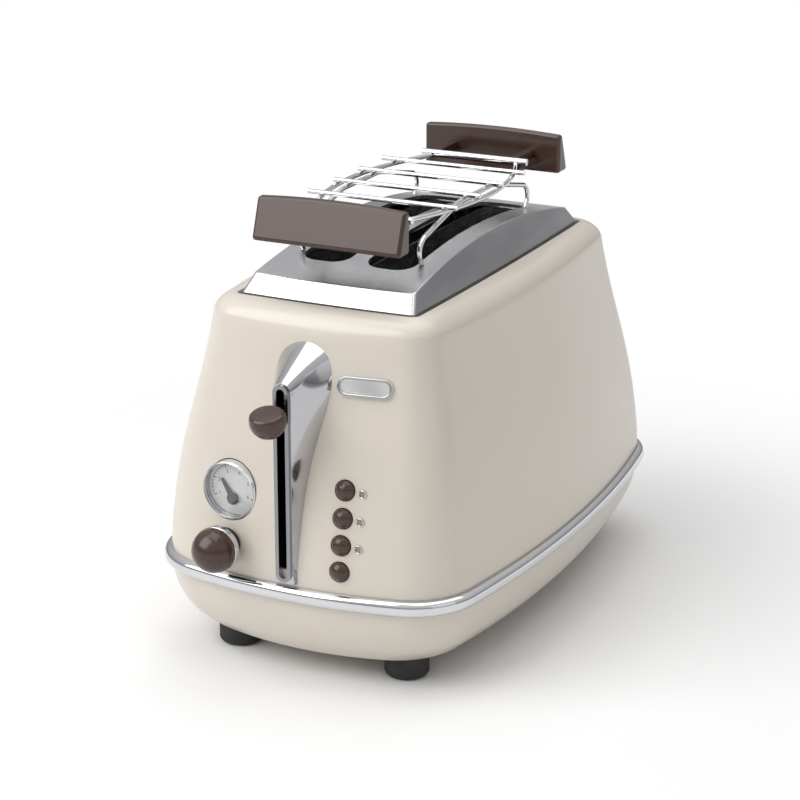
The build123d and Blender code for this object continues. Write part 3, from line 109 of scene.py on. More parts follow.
# Lever knob: a ball cut flat, tilted towards the front
LEVER_KNOB_Y = 156
LEVER_KNOB_Z = 136
LEVER_KNOB_R = 8.6
LEVER_KNOB_CUT = 3.9
LEVER_KNOB_EDGE = 1.0
LEVER_KNOB_TILT = 14.0

# Gauge, needle and browning knob
GAUGE_X = -33.0
GAUGE_Z = 90.0
GAUGE_R = 14.2
GAUGE_FRONT = 134.3
GLASS_RISE = 1.45
GLASS_WALL = 0.8
DIAL_Y = 130.7
SCALE_START = 205
SCALE_END = -25
TICKS = 25
TICKS_PER_FIGURE = 5
TICK_OUTER = 11.5
TICK_INNER = 10.8
LONG_TICK_INNER = 10.0
SCALE_OUTER = 11.68
SCALE_STEPS = 60
FIGURE_R = 8.3
NEEDLE_Z = 85.0
NEEDLE_REST = 33
NEEDLE_REACH = 10.4
NEEDLE_TIP_R = 0.6
NEEDLE_TAIL = 1.5
NEEDLE_HALF_WIDTH = 1.7
SPINDLE_END = 118.6
SPINDLE_R = 1.15
HUB_R = 2.8
KNOB_Z = 65.4
KNOB_CENTRE = 150.2
KNOB_R = 10.85
KNOB_BACK = 149.0
KNOB_BORE_R = 3.2
COLLAR_THICK = 3.6
COLLAR_EDGE = 0.7

# Push buttons, lights and badge
BUTTON_X = 26.8
BUTTON_R = 4.7
BUTTON_RISE = 3.0
BUTTON_PROUD = 3.4
STEM_END = 118.8
STEM_R = 3.8
FLANGE_R = 5.3
BUTTON_LEVELS = {"button_bun": 99.0, "button_defrost": 86.1, "button_reheat": 73.5, "button_cancel": 61.0}
BUTTON_BODIES = {
    "button_bun": "bun_button",
    "button_defrost": "defrost_button",
    "button_reheat": "reheat_button",
    "button_cancel": "cancel_button",
}
LED_X = 35.2
LED_R = 2.1
LED_BORE_R = 1.42
LED_EDGE = 0.35
LED_DEPTH = 1.6
LED_LEVELS = (98.2, 85.4, 72.7)
BADGE_X = 31.2
BADGE_Z = 146.0
BADGE_PROUD = 1.36
BADGE_TURN_STEPS = 24
BADGE_SIDE_STEPS = 8

# Borders of the badge: half length, end radius and wire radius
BADGE_BORDERS = ((12.5, 3.8, 0.62), (11.4, 2.7, 0.16))

# Mesh: divisions of the shell's height, rings of them below the shoulder, and steps of other forms
SHELL_DIVISIONS = 71
SHELL_RINGS = 66
ROLL_STEPS = 14
BASE_RINGS = 48
BASE_CROWDING = 1.6
WIRE_STEPS = 4
CARVED_SMOOTH = 38

# Points nearer than this, in metres, are welded, and a radius under this, in millimetres, is a point
WELD = 1e-7
AXIS_R = 1e-6

# Surfaces: part of the noise that colours and roughness spread over, clear coat and bump
MOTTLE_SPAN = (0.35, 0.65)
ROUGH_SPAN = (0.3, 0.7)
ROUGH_SPREAD = 0.2
COAT_ROUGH = 0.06
BUMP_HEIGHT = 0.0004

# Stage in metres: where the floor turns white, and each light's place, target, side and power
FLOOR_SIZE = 4.0
FLOOR_FADE = (0.16, 0.42)
LIGHTS = (
    ("key_box", (-0.8, -1.0, 1.2), (0.0, -0.05, 0.1), 1.4, 20.5),
    ("top_box", (0.05, 0.25, 1.6), (0.0, 0.0, 0.1), 1.5, 11.0),
    ("right_box", (1.3, -0.45, 0.65), (0.0, 0.0, 0.1), 0.9, 0.8),
)

# Room seen in reflections: share of the way from straight down to straight up, and its tone
ROOM_TONES = (
    (0.46, (0.8, 0.8, 0.8, 1)),
    (0.52, (0.22, 0.22, 0.23, 1)),
    (0.66, (0.5, 0.5, 0.51, 1)),
    (1.0, (0.9, 0.9, 0.9, 1)),
)
ROOM_DIFFUSE = (0.42, 0.42, 0.42, 1)
WHITE = (1.0, 1.0, 1.0, 1)

# Camera: angles in degrees, distance in metres, target in millimetres from the body's middle
CAMERA_AZIMUTH = 26.06
CAMERA_ELEVATION = 18.53
CAMERA_DISTANCE = 1.22244
CAMERA_TARGET = (-4.7, -10.85, 101.54)
CAMERA_LENS = 108.61
CAMERA_SENSOR = 36.0


def colour(label, about, default):
    """Colour property with a swatch."""
    return bpy.props.FloatVectorProperty(
        name=label, description=about, subtype="COLOR", size=3, min=0.0, max=1.0, default=default
    )


def length(label, about, default):
    """Length property in metres."""
    return bpy.props.FloatProperty(
        name=label, description=about, unit="LENGTH", min=0.0, default=default, precision=5
    )


class TOASTER_PG_colours(bpy.types.PropertyGroup):
    """Colours of the toaster's finishes."""

    body: colour("Body", "Enamel of the shell and the base", (0.655, 0.60, 0.525))
    brown: colour("Handles", "Plastic of the knobs, buttons and rack handles", (0.017, 0.0095, 0.0072))
    chrome: colour("Chrome", "Bright trim", (0.66, 0.66, 0.675))
    cover: colour("Cover", "Satin top cover", (0.55, 0.55, 0.56))
    dial: colour("Dial", "Face of the gauge", (0.93, 0.925, 0.91))
    ink: colour("Ink", "Printed marks", (0.012, 0.011, 0.011))
    floor: colour("Floor", "Table under the toaster", (0.9, 0.9, 0.9))


class TOASTER_PG_sizes(bpy.types.PropertyGroup):
    """Sizes of fine detail."""

    skin_step: bpy.props.IntProperty(
        name="Skin steps", description="Mesh steps along each quarter of the plan", default=22, min=4, max=60
    )
    lathe_step: bpy.props.IntProperty(
        name="Lathe steps", description="Mesh steps round each turned piece", default=96, min=12, max=256
    )
    figure: length("Figures", "Height of the dial's numbers", 0.0025)
    mark: length("Marks", "Width of a printed line", 0.00045)
    peel: length("Enamel grain", "Size of the enamel's fine waves", 0.0016)


def colours():
    """Colour settings of the scene."""
    return bpy.context.scene.toaster_colours


def sizes():
    """Size settings of the scene."""
    return bpy.context.scene.toaster_sizes


# Shading


def shade(v, factor):
    """Colour v made lighter or darker, with alpha."""
    return tuple(min(1.0, c * factor) for c in v[:3]) + (1.0,)


def finish(
    name,
    base,
    rough,
    metal=0.0,
    coat=0.0,
    spread=0.05,
    grain=(60.0, 60.0, 60.0),
    bump=0.02,
    bump_grain=(700.0, 700.0, 700.0),
    clear=0.0,
    specular=0.5,
):
    """Procedural surface: mottled colour, uneven roughness and a fine bump."""
    found = bpy.data.materials.get(name)
    if found:
        return found
    mat = bpy.data.materials.new(name)
    mat.use_nodes = True
    nodes = mat.node_tree.nodes
    links = mat.node_tree.links
    bsdf = nodes["Principled BSDF"]
    bsdf.inputs["Metallic"].default_value = metal
    bsdf.inputs["Coat Weight"].default_value = coat
    bsdf.inputs["Coat Roughness"].default_value = COAT_ROUGH
    bsdf.inputs["Transmission Weight"].default_value = clear
    bsdf.inputs["Specular IOR Level"].default_value = specular
    coords = nodes.new("ShaderNodeTexCoord")

    def noise(scale, detail):
        """Noise stretched along the axes."""
        mapping = nodes.new("ShaderNodeMapping")
        mapping.inputs["Scale"].default_value = scale
        texture = nodes.new("ShaderNodeTexNoise")
        texture.inputs["Scale"].default_value = 1.0
        texture.inputs["Detail"].default_value = detail
        links.new(coords.outputs["Object"], mapping.inputs["Vector"])
        links.new(mapping.outputs["Vector"], texture.inputs["Vector"])
        return texture.outputs["Fac"]

    mottle = noise(grain, 3.0)
    ramp = nodes.new("ShaderNodeValToRGB")
    ramp.color_ramp.elements[0].position = MOTTLE_SPAN[0]
    ramp.color_ramp.elements[1].position = MOTTLE_SPAN[1]
    ramp.color_ramp.elements[0].color = shade(base, 1.0 - spread)
    ramp.color_ramp.elements[1].color = shade(base, 1.0 + spread)
    links.new(mottle, ramp.inputs["Fac"])
    links.new(ramp.outputs["Color"], bsdf.inputs["Base Color"])
    spread_map = nodes.new("ShaderNodeMapRange")
    spread_map.inputs["From Min"].default_value = ROUGH_SPAN[0]
    spread_map.inputs["From Max"].default_value = ROUGH_SPAN[1]
    spread_map.inputs["To Min"].default_value = rough * (1.0 - ROUGH_SPREAD)
    spread_map.inputs["To Max"].default_value = rough * (1.0 + ROUGH_SPREAD)
    links.new(mottle, spread_map.inputs["Value"])
    links.new(spread_map.outputs["Result"], bsdf.inputs["Roughness"])
    if bump:
        rise = nodes.new("ShaderNodeBump")
        rise.inputs["Strength"].default_value = bump
        rise.inputs["Distance"].default_value = BUMP_HEIGHT
        links.new(noise(bump_grain, 2.0), rise.inputs["Height"])
        links.new(rise.outputs["Normal"], bsdf.inputs["Normal"])
    return mat


def enamel():
    """Cream enamel with a soft clear coat."""
    grain = 1.0 / sizes().peel
    return finish(
        "cream_enamel",
        colours().body,
        0.36,
        coat=0.35,
        spread=0.012,
        grain=(9, 9, 9),
        bump_grain=(grain,) * 3,
    )


def chrome():
    """Bright chrome plate."""
    return finish(
        "bright_chrome", colours().chrome, 0.07, metal=1.0, spread=0.02, grain=(30, 30, 30), bump=0.008
    )


def wire_chrome():
    """Chrome plate on drawn wire."""
    return finish("wire_chrome", colours().chrome, 0.12, metal=1.0, spread=0.04, grain=(120, 120, 120))


def satin():
    """Satin metal with grain along Y."""
    return finish(
        "satin_cover",
        colours().cover,
        0.27,
        metal=1.0,
        spread=0.012,
        grain=(40, 12, 40),
        bump=0.004,
        bump_grain=(900, 40, 900),
    )


def brown():
    """Dark brown moulded plastic."""
    return finish(
        "brown_plastic",
        colours().brown,
        0.34,
        spread=0.08,
        grain=(150, 150, 150),
        bump=0.03,
        bump_grain=(1500,) * 3,
        specular=0.28,
    )


def steel(name="liner_steel", tone=0.55, rough=0.3):
    """Rolled sheet steel."""
    return finish(
        name,
        (tone, tone, tone * 1.01),
        rough,
        metal=1.0,
        spread=0.08,
        grain=(90, 90, 400),
        bump=0.05,
        bump_grain=(500, 500, 2000),
    )


def plastic(name, base, rough=0.45):
    """Plain moulded plastic."""
    return finish(name, base, rough, spread=0.1, grain=(200, 200, 200), bump=0.06, bump_grain=(1800,) * 3)


def ink():
    """Printed ink."""
    return finish("ink", colours().ink, 0.5, spread=0.1, grain=(800, 800, 800), bump=0.0)


def paint(obj, mat):
    """Give the object one material."""
    if not obj.data.materials:
        obj.data.materials.append(mat)
    for n in range(len(obj.data.materials)):
        obj.data.materials[n] = mat


def node(name):
    """CAD node by name."""
    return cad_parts[name]


def cad(name, mat):
    """Finish a CAD node."""
    obj = node(name)
    paint(obj, mat)
    return obj


# Mesh building


def new_object(name, bm, mat, smooth=30.0):
    """Object from a bmesh drawn round the body's middle, smooth up to an angle."""
    bmesh.ops.remove_doubles(bm, verts=bm.verts, dist=WELD)
    bmesh.ops.translate(bm, verts=bm.verts, vec=(0, FRAME_Y * MM, 0))
    bmesh.ops.recalc_face_normals(bm, faces=bm.faces)
    mesh = bpy.data.meshes.new(name)
    bm.to_mesh(mesh)
    bm.free()
    mesh.shade_smooth()
    mesh.set_sharp_from_angle(angle=math.radians(smooth))
    mesh.materials.append(mat)
    obj = bpy.data.objects.new(name, mesh)
    bpy.context.scene.collection.objects.link(obj)
    return obj


def spline(knots, values, t):
    """Natural cubic through the knots, read at t."""
    n = len(knots) - 1
    h = [knots[i + 1] - knots[i] for i in range(n)]
    a, b, c = [0.0] * (n + 1), [1.0] * (n + 1), [0.0] * (n + 1)
    d = [0.0] * (n + 1)
    for i in range(1, n):
        a[i] = h[i - 1]
        b[i] = 2 * (h[i - 1] + h[i])
        c[i] = h[i]
        d[i] = 6 * ((values[i + 1] - values[i]) / h[i] - (values[i] - values[i - 1]) / h[i - 1])
    for i in range(1, n + 1):
        w = a[i] / b[i - 1]
        b[i] -= w * c[i - 1]
        d[i] -= w * d[i - 1]
    m = [0.0] * (n + 1)
    for i in range(n - 1, 0, -1):
        m[i] = (d[i] - c[i] * m[i + 1]) / b[i]
    k = 0
    while k < n - 1 and t > knots[k + 1]:
        k += 1
    low, high = knots[k], knots[k + 1]
    u, v = high - t, t - low
    return (
        m[k] * u**3 / (6 * h[k])
        + m[k + 1] * v**3 / (6 * h[k])
        + (values[k] / h[k] - m[k] * h[k] / 6) * u
        + (values[k + 1] / h[k] - m[k + 1] * h[k] / 6) * v
    )


def mix(low, high, share):
    """Value between low and high."""
    return low + (high - low) * share


def outline(half_width, half_length, side_bow, end_bow, corner_r):
    """Points of a bulged rectangle with round corners, anticlockwise, in millimetres."""
    step = sizes().skin_step
    cx, cy = half_width - side_bow, half_length - end_bow
    r1 = (cy**2 + side_bow**2) / (2 * side_bow)
    r2 = (cx**2 + end_bow**2) / (2 * end_bow)
    c1, c2 = half_width - r1, half_length - r2
    d1, d2 = r1 - corner_r, r2 - corner_r
    # Circles of radius d1 round (c1, 0) and d2 round (0, c2) cross at the corner's centre
    gap = math.hypot(c1, c2)
    along = (d1**2 - d2**2 + gap**2) / (2 * gap)
    off = math.sqrt(max(d1**2 - along**2, 0.0))
    ex, ey = -c1 / gap, c2 / gap
    fx, fy = c1 + along * ex + off * ey, along * ey - off * ex
    if fx < 0 or fy < 0:
        fx, fy = c1 + along * ex - off * ey, along * ey + off * ex
    a1 = math.atan2(fy, fx - c1)
    a2 = math.atan2(fy - c2, fx)
    quarter = []
    for n in range(step):
        a = a1 * n / step
        quarter.append((c1 + r1 * math.cos(a), r1 * math.sin(a)))
    for n in range(step):
        a = mix(a1, a2, n / step)
        quarter.append((fx + corner_r * math.cos(a), fy + corner_r * math.sin(a)))
    for n in range(step + 1):
        a = mix(a2, math.pi / 2, n / step)
        quarter.append((r2 * math.cos(a), c2 + r2 * math.sin(a)))
    left = [(-x, y) for x, y in reversed(quarter[:-1])]
    top = quarter + left
    bottom = [(-x, -y) for x, y in top[1:-1]]
    return top + bottom


def rings(bm, levels, closed=False, cap_last=False):
    """Quads between rings of (points, height)."""
    made = []
    for points, z in levels:
        made.append([bm.verts.new((x * MM, y * MM, z * MM)) for x, y in points])
    pairs = list(zip(made, made[1:]))
    if closed:
        pairs.append((made[-1], made[0]))
    for low, high in pairs:
        count = len(low)
        for n in range(count):
            m = (n + 1) % count
            bm.faces.new((low[n], low[m], high[m], high[n]))
    if cap_last:
        bm.faces.new(made[-1])
    return made


def shell_size(share):
    """Plan sizes of the bell at a share of its height."""
    inset = spline(SHELL_SHARES, SHELL_INSETS, share)
    return (
        HALF_WIDTH - inset,
        HALF_LENGTH - inset * END_INSET_RATIO,
        mix(SIDE_BOW, TOP_SIDE_BOW, share),
        mix(END_BOW, TOP_END_BOW, share),
        mix(CORNER_R, TOP_CORNER_R, share),
    )


def face_y(x, z):
    """Distance of the front surface from the middle at x and height z, in millimetres."""
    half_width, half_length, side_bow, end_bow, _ = shell_size((z - SHELL_LOW) / (SHELL_TOP - SHELL_LOW))
    cx = half_width - side_bow
    r = (cx**2 + end_bow**2) / (2 * end_bow)
    return half_length - r + math.sqrt(r * r - x * x)


def turned(name, origin, direction, profile, mat, smooth=32.0):
    """Piece turned about an axis: profile holds (along, radius) in millimetres."""
    steps = sizes().lathe_step
    axis = Vector(direction).normalized()
    side = axis.orthogonal().normalized()
    other = axis.cross(side)
    centre = Vector(origin)
    bm = bmesh.new()
    made = []
    for along, radius in profile:
        place = centre + axis * along
        if radius < AXIS_R:
            made.append([bm.verts.new(place * MM)])
            continue
        ring = []
        for n in range(steps):
            a = math.tau * n / steps
            ring.append(bm.verts.new((place + radius * (side * math.cos(a) + other * math.sin(a))) * MM))
        made.append(ring)
    for low, high in zip(made, made[1:]):
        for n in range(steps):
            m = (n + 1) % steps
            if len(low) == 1 and len(high) == 1:
                continue
            if len(low) == 1:
                bm.faces.new((low[0], high[m], high[n]))
            elif len(high) == 1:
                bm.faces.new((low[n], low[m], high[0]))
            else:
                bm.faces.new((low[n], low[m], high[m], high[n]))
    return new_object(name, bm, mat, smooth)


def arc(centre_along, centre_radius, radius, start, end, count=10):
    """Arc of profile points: angle 0 points along the axis, 90 away from it."""
    points = []
    for n in range(count + 1):
        a = math.radians(mix(start, end, n / count))
        points.append((centre_along + radius * math.cos(a), max(0.0, centre_radius + radius * math.sin(a))))
    return points


def baked(obj):
    """Replace the object's mesh with its modified form."""
    graph = bpy.context.evaluated_depsgraph_get()
    mesh = bpy.data.meshes.new_from_object(obj.evaluated_get(graph))
    obj.modifiers.clear()
    old = obj.data
    obj.data = mesh
    bpy.data.meshes.remove(old)


def carve(obj, cutters, thickness):
    """Give a skin its wall, then cut holes through it."""
    wall = obj.modifiers.new("wall", "SOLIDIFY")
    wall.thickness = thickness * MM
    wall.offset = -1.0
    for cutter in cutters:
        cut = obj.modifiers.new("cut", "BOOLEAN")
        cut.object = cutter
        cut.solver = "EXACT"
    bpy.context.view_layer.update()
    baked(obj)
    for cutter in cutters:
        bpy.data.objects.remove(cutter)
    obj.data.set_sharp_from_angle(angle=math.radians(CARVED_SMOOTH))


def box_cutter(low, high):
    """Box that cuts, corners in millimetres."""
    bm = bmesh.new()
    bmesh.ops.create_cube(bm, size=1.0)
    for v in bm.verts:
        v.co = [mix(a, b, c + 0.5) * MM for a, b, c in zip(low, high, v.co)]
    return new_object("cutter", bm, ink())


def round_cutter(x, z, near, far, radius):
    """Round bar along Y that cuts, distances in front of the middle."""
    depth = far - near
    profile = [(0, 0), (0, radius), (depth, radius), (depth, 0)]
    return turned("cutter", (x, -near, z), (0, -1, 0), profile, ink())


def tube(name, points, radius, mat, closed=False):
    """Round wire through points given in millimetres."""
    curve = bpy.data.curves.new(name, "CURVE")
    curve.dimensions = "3D"
    curve.bevel_depth = radius * MM
    curve.bevel_resolution = WIRE_STEPS
    line = curve.splines.new("POLY")
    line.points.add(len(points) - 1)
    for p, co in zip(line.points, points):
        p.co = (co[0] * MM, (co[1] + FRAME_Y) * MM, co[2] * MM, 1.0)
    line.use_cyclic_u = closed
    obj = bpy.data.objects.new(name, curve)
    bpy.context.scene.collection.objects.link(obj)
    graph = bpy.context.evaluated_depsgraph_get()
    mesh = bpy.data.meshes.new_from_object(obj.evaluated_get(graph))
    bpy.data.objects.remove(obj)
    mesh.materials.clear()
    mesh.materials.append(mat)
    mesh.shade_smooth()
    made = bpy.data.objects.new(name, mesh)
    bpy.context.scene.collection.objects.link(made)
    return made


class Piece(bpy.types.Operator):
    """Shared form of the operators that make pieces."""

    bl_options = {"REGISTER", "UNDO"}

    def execute(self, context):
        """Make the piece."""
        self.make()
        return {"FINISHED"}


class TOASTER_OT_shell(Piece):
    """Make the enamelled shell with its holes"""

    bl_idname = "toaster.shell"
    bl_label = "Outer shell"

    def make(self):
        """Build the skin from level rings, then wall and holes."""
        levels = []
        for n in range(SHELL_RINGS):
            share = n / SHELL_DIVISIONS
            levels.append((outline(*shell_size(share)), mix(SHELL_LOW, SHELL_TOP, share)))
        size = shell_size(1.0)
        slope = math.radians(ROLL_SLOPE)
        for n in range(ROLL_STEPS + 1):
            a = mix(slope, math.pi / 2, n / ROLL_STEPS)
            inset = ROLL_R * (1 - math.cos(a)) - (ROLL_R * (1 - math.sin(a))) * math.tan(slope)
            ring = outline(size[0] - inset, size[1] - inset, size[2], size[3], size[4] - inset)
            levels.append((ring, SHELL_TOP - ROLL_R * (1 - math.sin(a))))
        edge = levels[-1][0]
        for share in (0.9, 0.8, 0.7, 0.6):
            levels.append(([(x * share, y * share) for x, y in edge], SHELL_TOP))
        bm = bmesh.new()
        rings(bm, levels, cap_last=True)
        obj = new_object("enamel_shell", bm, enamel())
        near, far = FRONT_CUT
        slot = box_cutter((-SLOT_HALF_WIDTH, -far, SLOT_LOW), (SLOT_HALF_WIDTH, -near, SLOT_HIGH))
        cutters = [self.opening(), slot]
        cutters.append(round_cutter(GAUGE_X, GAUGE_Z, near, far, GAUGE_R + GAUGE_GAP))
        cutters.append(round_cutter(GAUGE_X, KNOB_Z, near, far, SHAFT_HOLE_R))
        for z in BUTTON_LEVELS.values():
            cutters.append(round_cutter(BUTTON_X, z, near, far, BUTTON_R + BUTTON_GAP))
        for z in LED_LEVELS:
            cutters.append(round_cutter(LED_X, z, near, far, LED_R + LED_GAP))
        carve(obj, cutters, SHELL_WALL)
        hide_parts("outer_shell")
        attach(obj, "toaster_body")
        bm = bmesh.new()
        low, high = SHELL_TOP - LIP_LOW, SHELL_TOP - LIP_HIGH
        section = ((0, low), (0, high), (LIP_WALL, high), (LIP_WALL, low))
        rings(bm, [(self.grown(g), z) for g, z in section], closed=True)
        lip = new_object("enamel_lip", bm, enamel())
        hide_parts("outer_shell")
        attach(lip, "toaster_body")

    def grown(self, grow):
        """Outline of the top opening, grown outwards."""
        half_width, half_length, side_bow, end_bow, corner_r = OPENING
        return outline(half_width + grow, half_length + grow, side_bow, end_bow, corner_r + grow)

    def opening(self):
        """Cutter for the top opening that leaves a rounded edge."""
        r = OPENING_EDGE_R
        levels = [(self.grown(0), SHELL_TOP - 40)]
        for n in range(7):
            a = math.radians(90 - 15 * n)
            levels.append((self.grown(r - r * math.sin(a)), SHELL_TOP - r + r * math.cos(a)))
        levels.append((self.grown(r), SHELL_TOP + 5))
        bm = bmesh.new()
        made = rings(bm, levels, cap_last=True)
        bm.faces.new(made[0])
        return new_object("cutter", bm, ink())


class TOASTER_OT_base(Piece):
    """Make the enamelled base bowl"""

    bl_idname = "toaster.base"
    bl_label = "Base bowl"

    def make(self):
        """Build the bowl from level rings, then its wall, tray mouth and cord hole."""
        levels = []
        for n in range(BASE_RINGS + 1):
            share = 1 - (1 - n / BASE_RINGS) ** BASE_CROWDING
            inset = spline(BASE_SHARES, BASE_INSETS, share)
            ring = outline(HALF_WIDTH - inset, HALF_LENGTH - inset, SIDE_BOW, END_BOW, CORNER_R)
            levels.append((ring, mix(BASE_TOP, BASE_LOW, share)))
        last = levels[-1][0]
        for share in (0.97, 0.8, 0.5, 0.2):
            levels.append(([(x * share, y * share) for x, y in last], BASE_LOW))
        bm = bmesh.new()
        rings(bm, levels, cap_last=True)
        obj = new_object("enamel_base", bm, enamel())
        near, far = REAR_CUT
        mouth = box_cutter(
            (-TRAY_MOUTH_HALF_WIDTH, near, TRAY_MOUTH_LOW), (TRAY_MOUTH_HALF_WIDTH, far, TRAY_MOUTH_HIGH)
        )
        carve(obj, [mouth, round_cutter(CORD_HOLE_X, CORD_HOLE_Z, -far, -near, CORD_HOLE_R)], BASE_WALL)
        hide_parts("base_shell")
        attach(obj, "toaster_body")


class TOASTER_OT_belt(Piece):
    """Make the chrome belt"""

    bl_idname = "toaster.belt"
    bl_label = "Belt"

    def make(self):
        """Carry a D-shaped section round the plan."""
        r = BELT_EDGE_R
        section = [(BELT_LOW_GAP, BASE_TOP), (BELT_LOW_GAP, BELT_LOW)]
        for n in range(11):
            a = math.radians(-90 + 9 * n)
            section.append((BELT_PROUD - r + r * math.cos(a), BELT_LOW + r + r * math.sin(a)))
        for n in range(11):
            a = math.radians(9 * n)
            section.append((BELT_PROUD - r + r * math.cos(a), BELT_HIGH - r + r * math.sin(a)))
        section += [(BELT_HIGH_GAP, BELT_HIGH - 0.01), (BELT_HIGH_GAP, SHELL_LOW)]
        section += [(BELT_BACK, SHELL_LOW), (BELT_BACK, BASE_TOP)]
        levels = [
            (outline(HALF_WIDTH + g, HALF_LENGTH + g, SIDE_BOW, END_BOW, CORNER_R + g), z) for g, z in section
        ]
        bm = bmesh.new()
        rings(bm, levels, closed=True)
        obj = new_object("chrome_belt", bm, chrome())
        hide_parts("belt")
        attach(obj, "toaster_body")


class TOASTER_OT_top(Piece):
    """Finish the cover, its liners, its seal and the inner chassis"""

    bl_idname = "toaster.top"
    bl_label = "Top and inside"

    def make(self):
        """Give each carried-over node its surface."""
        cad("top_cover", satin())
        cad("slot_liners", steel("slot_liner_steel", 0.5, 0.25))
        cad("rim_seal", plastic("seal_rubber", (0.02, 0.02, 0.02), 0.6))
        zinc = steel("zinc_sheet", 0.42, 0.4)
        for name in (
            "chassis_floor",
            "chassis_top",
            "chassis_front_plate",
            "chassis_rear_plate",
            "switch_bracket",
            "tray_runners",
            "lift_carriage",
        ):
            cad(name, zinc)
        cad("side_reflectors", steel("reflector_sheet", 0.6, 0.3))
        mica = finish("mica", (0.34, 0.27, 0.17), 0.5, spread=0.25, grain=(300, 300, 300), bump=0.1)
        cad("heater_boards", mica)
        alloy = finish("ribbon_alloy", (0.2, 0.17, 0.15), 0.45, metal=1.0, spread=0.25, bump=0.05)
        cad("heating_ribbons", alloy)
        cad("crumb_tray", steel("tray_steel", 0.5, 0.3))
        rod = steel("ground_rod", 0.65, 0.12)
        for name in ("guide_rod", "latch_armature", "lever_arm", "bread_lifts"):
            cad(name, rod)
        wire = steel("guide_wire", 0.5, 0.25)
        for name in ("guide_left_outer", "guide_left_inner", "guide_right_inner", "guide_right_outer"):
            cad(name, wire)
        coil = finish(
            "coil_wire", (0.42, 0.16, 0.06), 0.3, metal=0.8, spread=0.2, grain=(50, 50, 2500), bump=0.3
        )
        cad("latch_magnet", coil)
        screws = steel("screw_steel", 0.5, 0.3)
        cad("cover_screws", screws)
        cad("foot_screws", screws)
        black = plastic("black_plastic", (0.02, 0.02, 0.021))
        for name in ("browning_switch", "button_guide", "key_switches", "cord_gland", "browning_shaft"):
            cad(name, black)
        nylon = plastic("nylon", (0.7, 0.69, 0.64))
        cad("terminal_block", nylon)
        cad("needle_gear", nylon)
        board = finish("board", (0.03, 0.13, 0.06), 0.35, spread=0.3, grain=(400, 400, 400), bump=0.1)
        cad("control_board", board)
        cad("light_pipes", finish("light_pipe", (0.75, 0.6, 0.4), 0.15, clear=0.6, spread=0.05))
        cad("feet", plastic("foot_rubber", (0.018, 0.018, 0.018), 0.62))
        spring = finish(
            "spring_wire",
            (0.5, 0.5, 0.5),
            0.25,
            metal=1.0,
            spread=0.1,
            grain=(50, 50, 600),
            bump=0.4,
            bump_grain=(20, 20, 420),
        )
        cad("carriage_spring", spring)


class TOASTER_OT_lever(Piece):
    """Finish the lever plate and make the lever's knob"""

    bl_idname = "toaster.lever"
    bl_label = "Lever"

    def make(self):
        """Chrome fin and frame, and a turned knob cut flat."""
        plate = finish(
            "plate_chrome", (0.5, 0.5, 0.515), 0.1, metal=1.0, spread=0.02, grain=(30, 30, 30), bump=0.006
        )
        cad("lever_plate", plate)
        slot_frame = finish("frame_chrome", (0.3, 0.3, 0.31), 0.16, metal=1.0, spread=0.03, bump=0.01)
        cad("lever_slot_frame", slot_frame)
        tilt = math.radians(LEVER_KNOB_TILT)
        axis = (0, -math.sin(tilt), math.cos(tilt))
        r, cut, edge = LEVER_KNOB_R, LEVER_KNOB_CUT, LEVER_KNOB_EDGE
        rim_angle = math.degrees(math.acos(cut / r))
        profile = [(cut - 0.35, 0.0), (cut - 0.3, 4.0), (cut - 0.05, 6.0)]
        inner = math.sqrt(r * r - cut * cut) - edge
        profile += [(cut, inner), (cut - 0.12, inner + 0.55), (cut - 0.5, inner + 0.98)]
        profile += arc(0, 0, r, rim_angle + 6, 180, 40)
        obj = turned("lever_ball", (0, -LEVER_KNOB_Y, LEVER_KNOB_Z), axis, profile, brown())
        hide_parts("lever_knob")
        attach(obj, "lift")


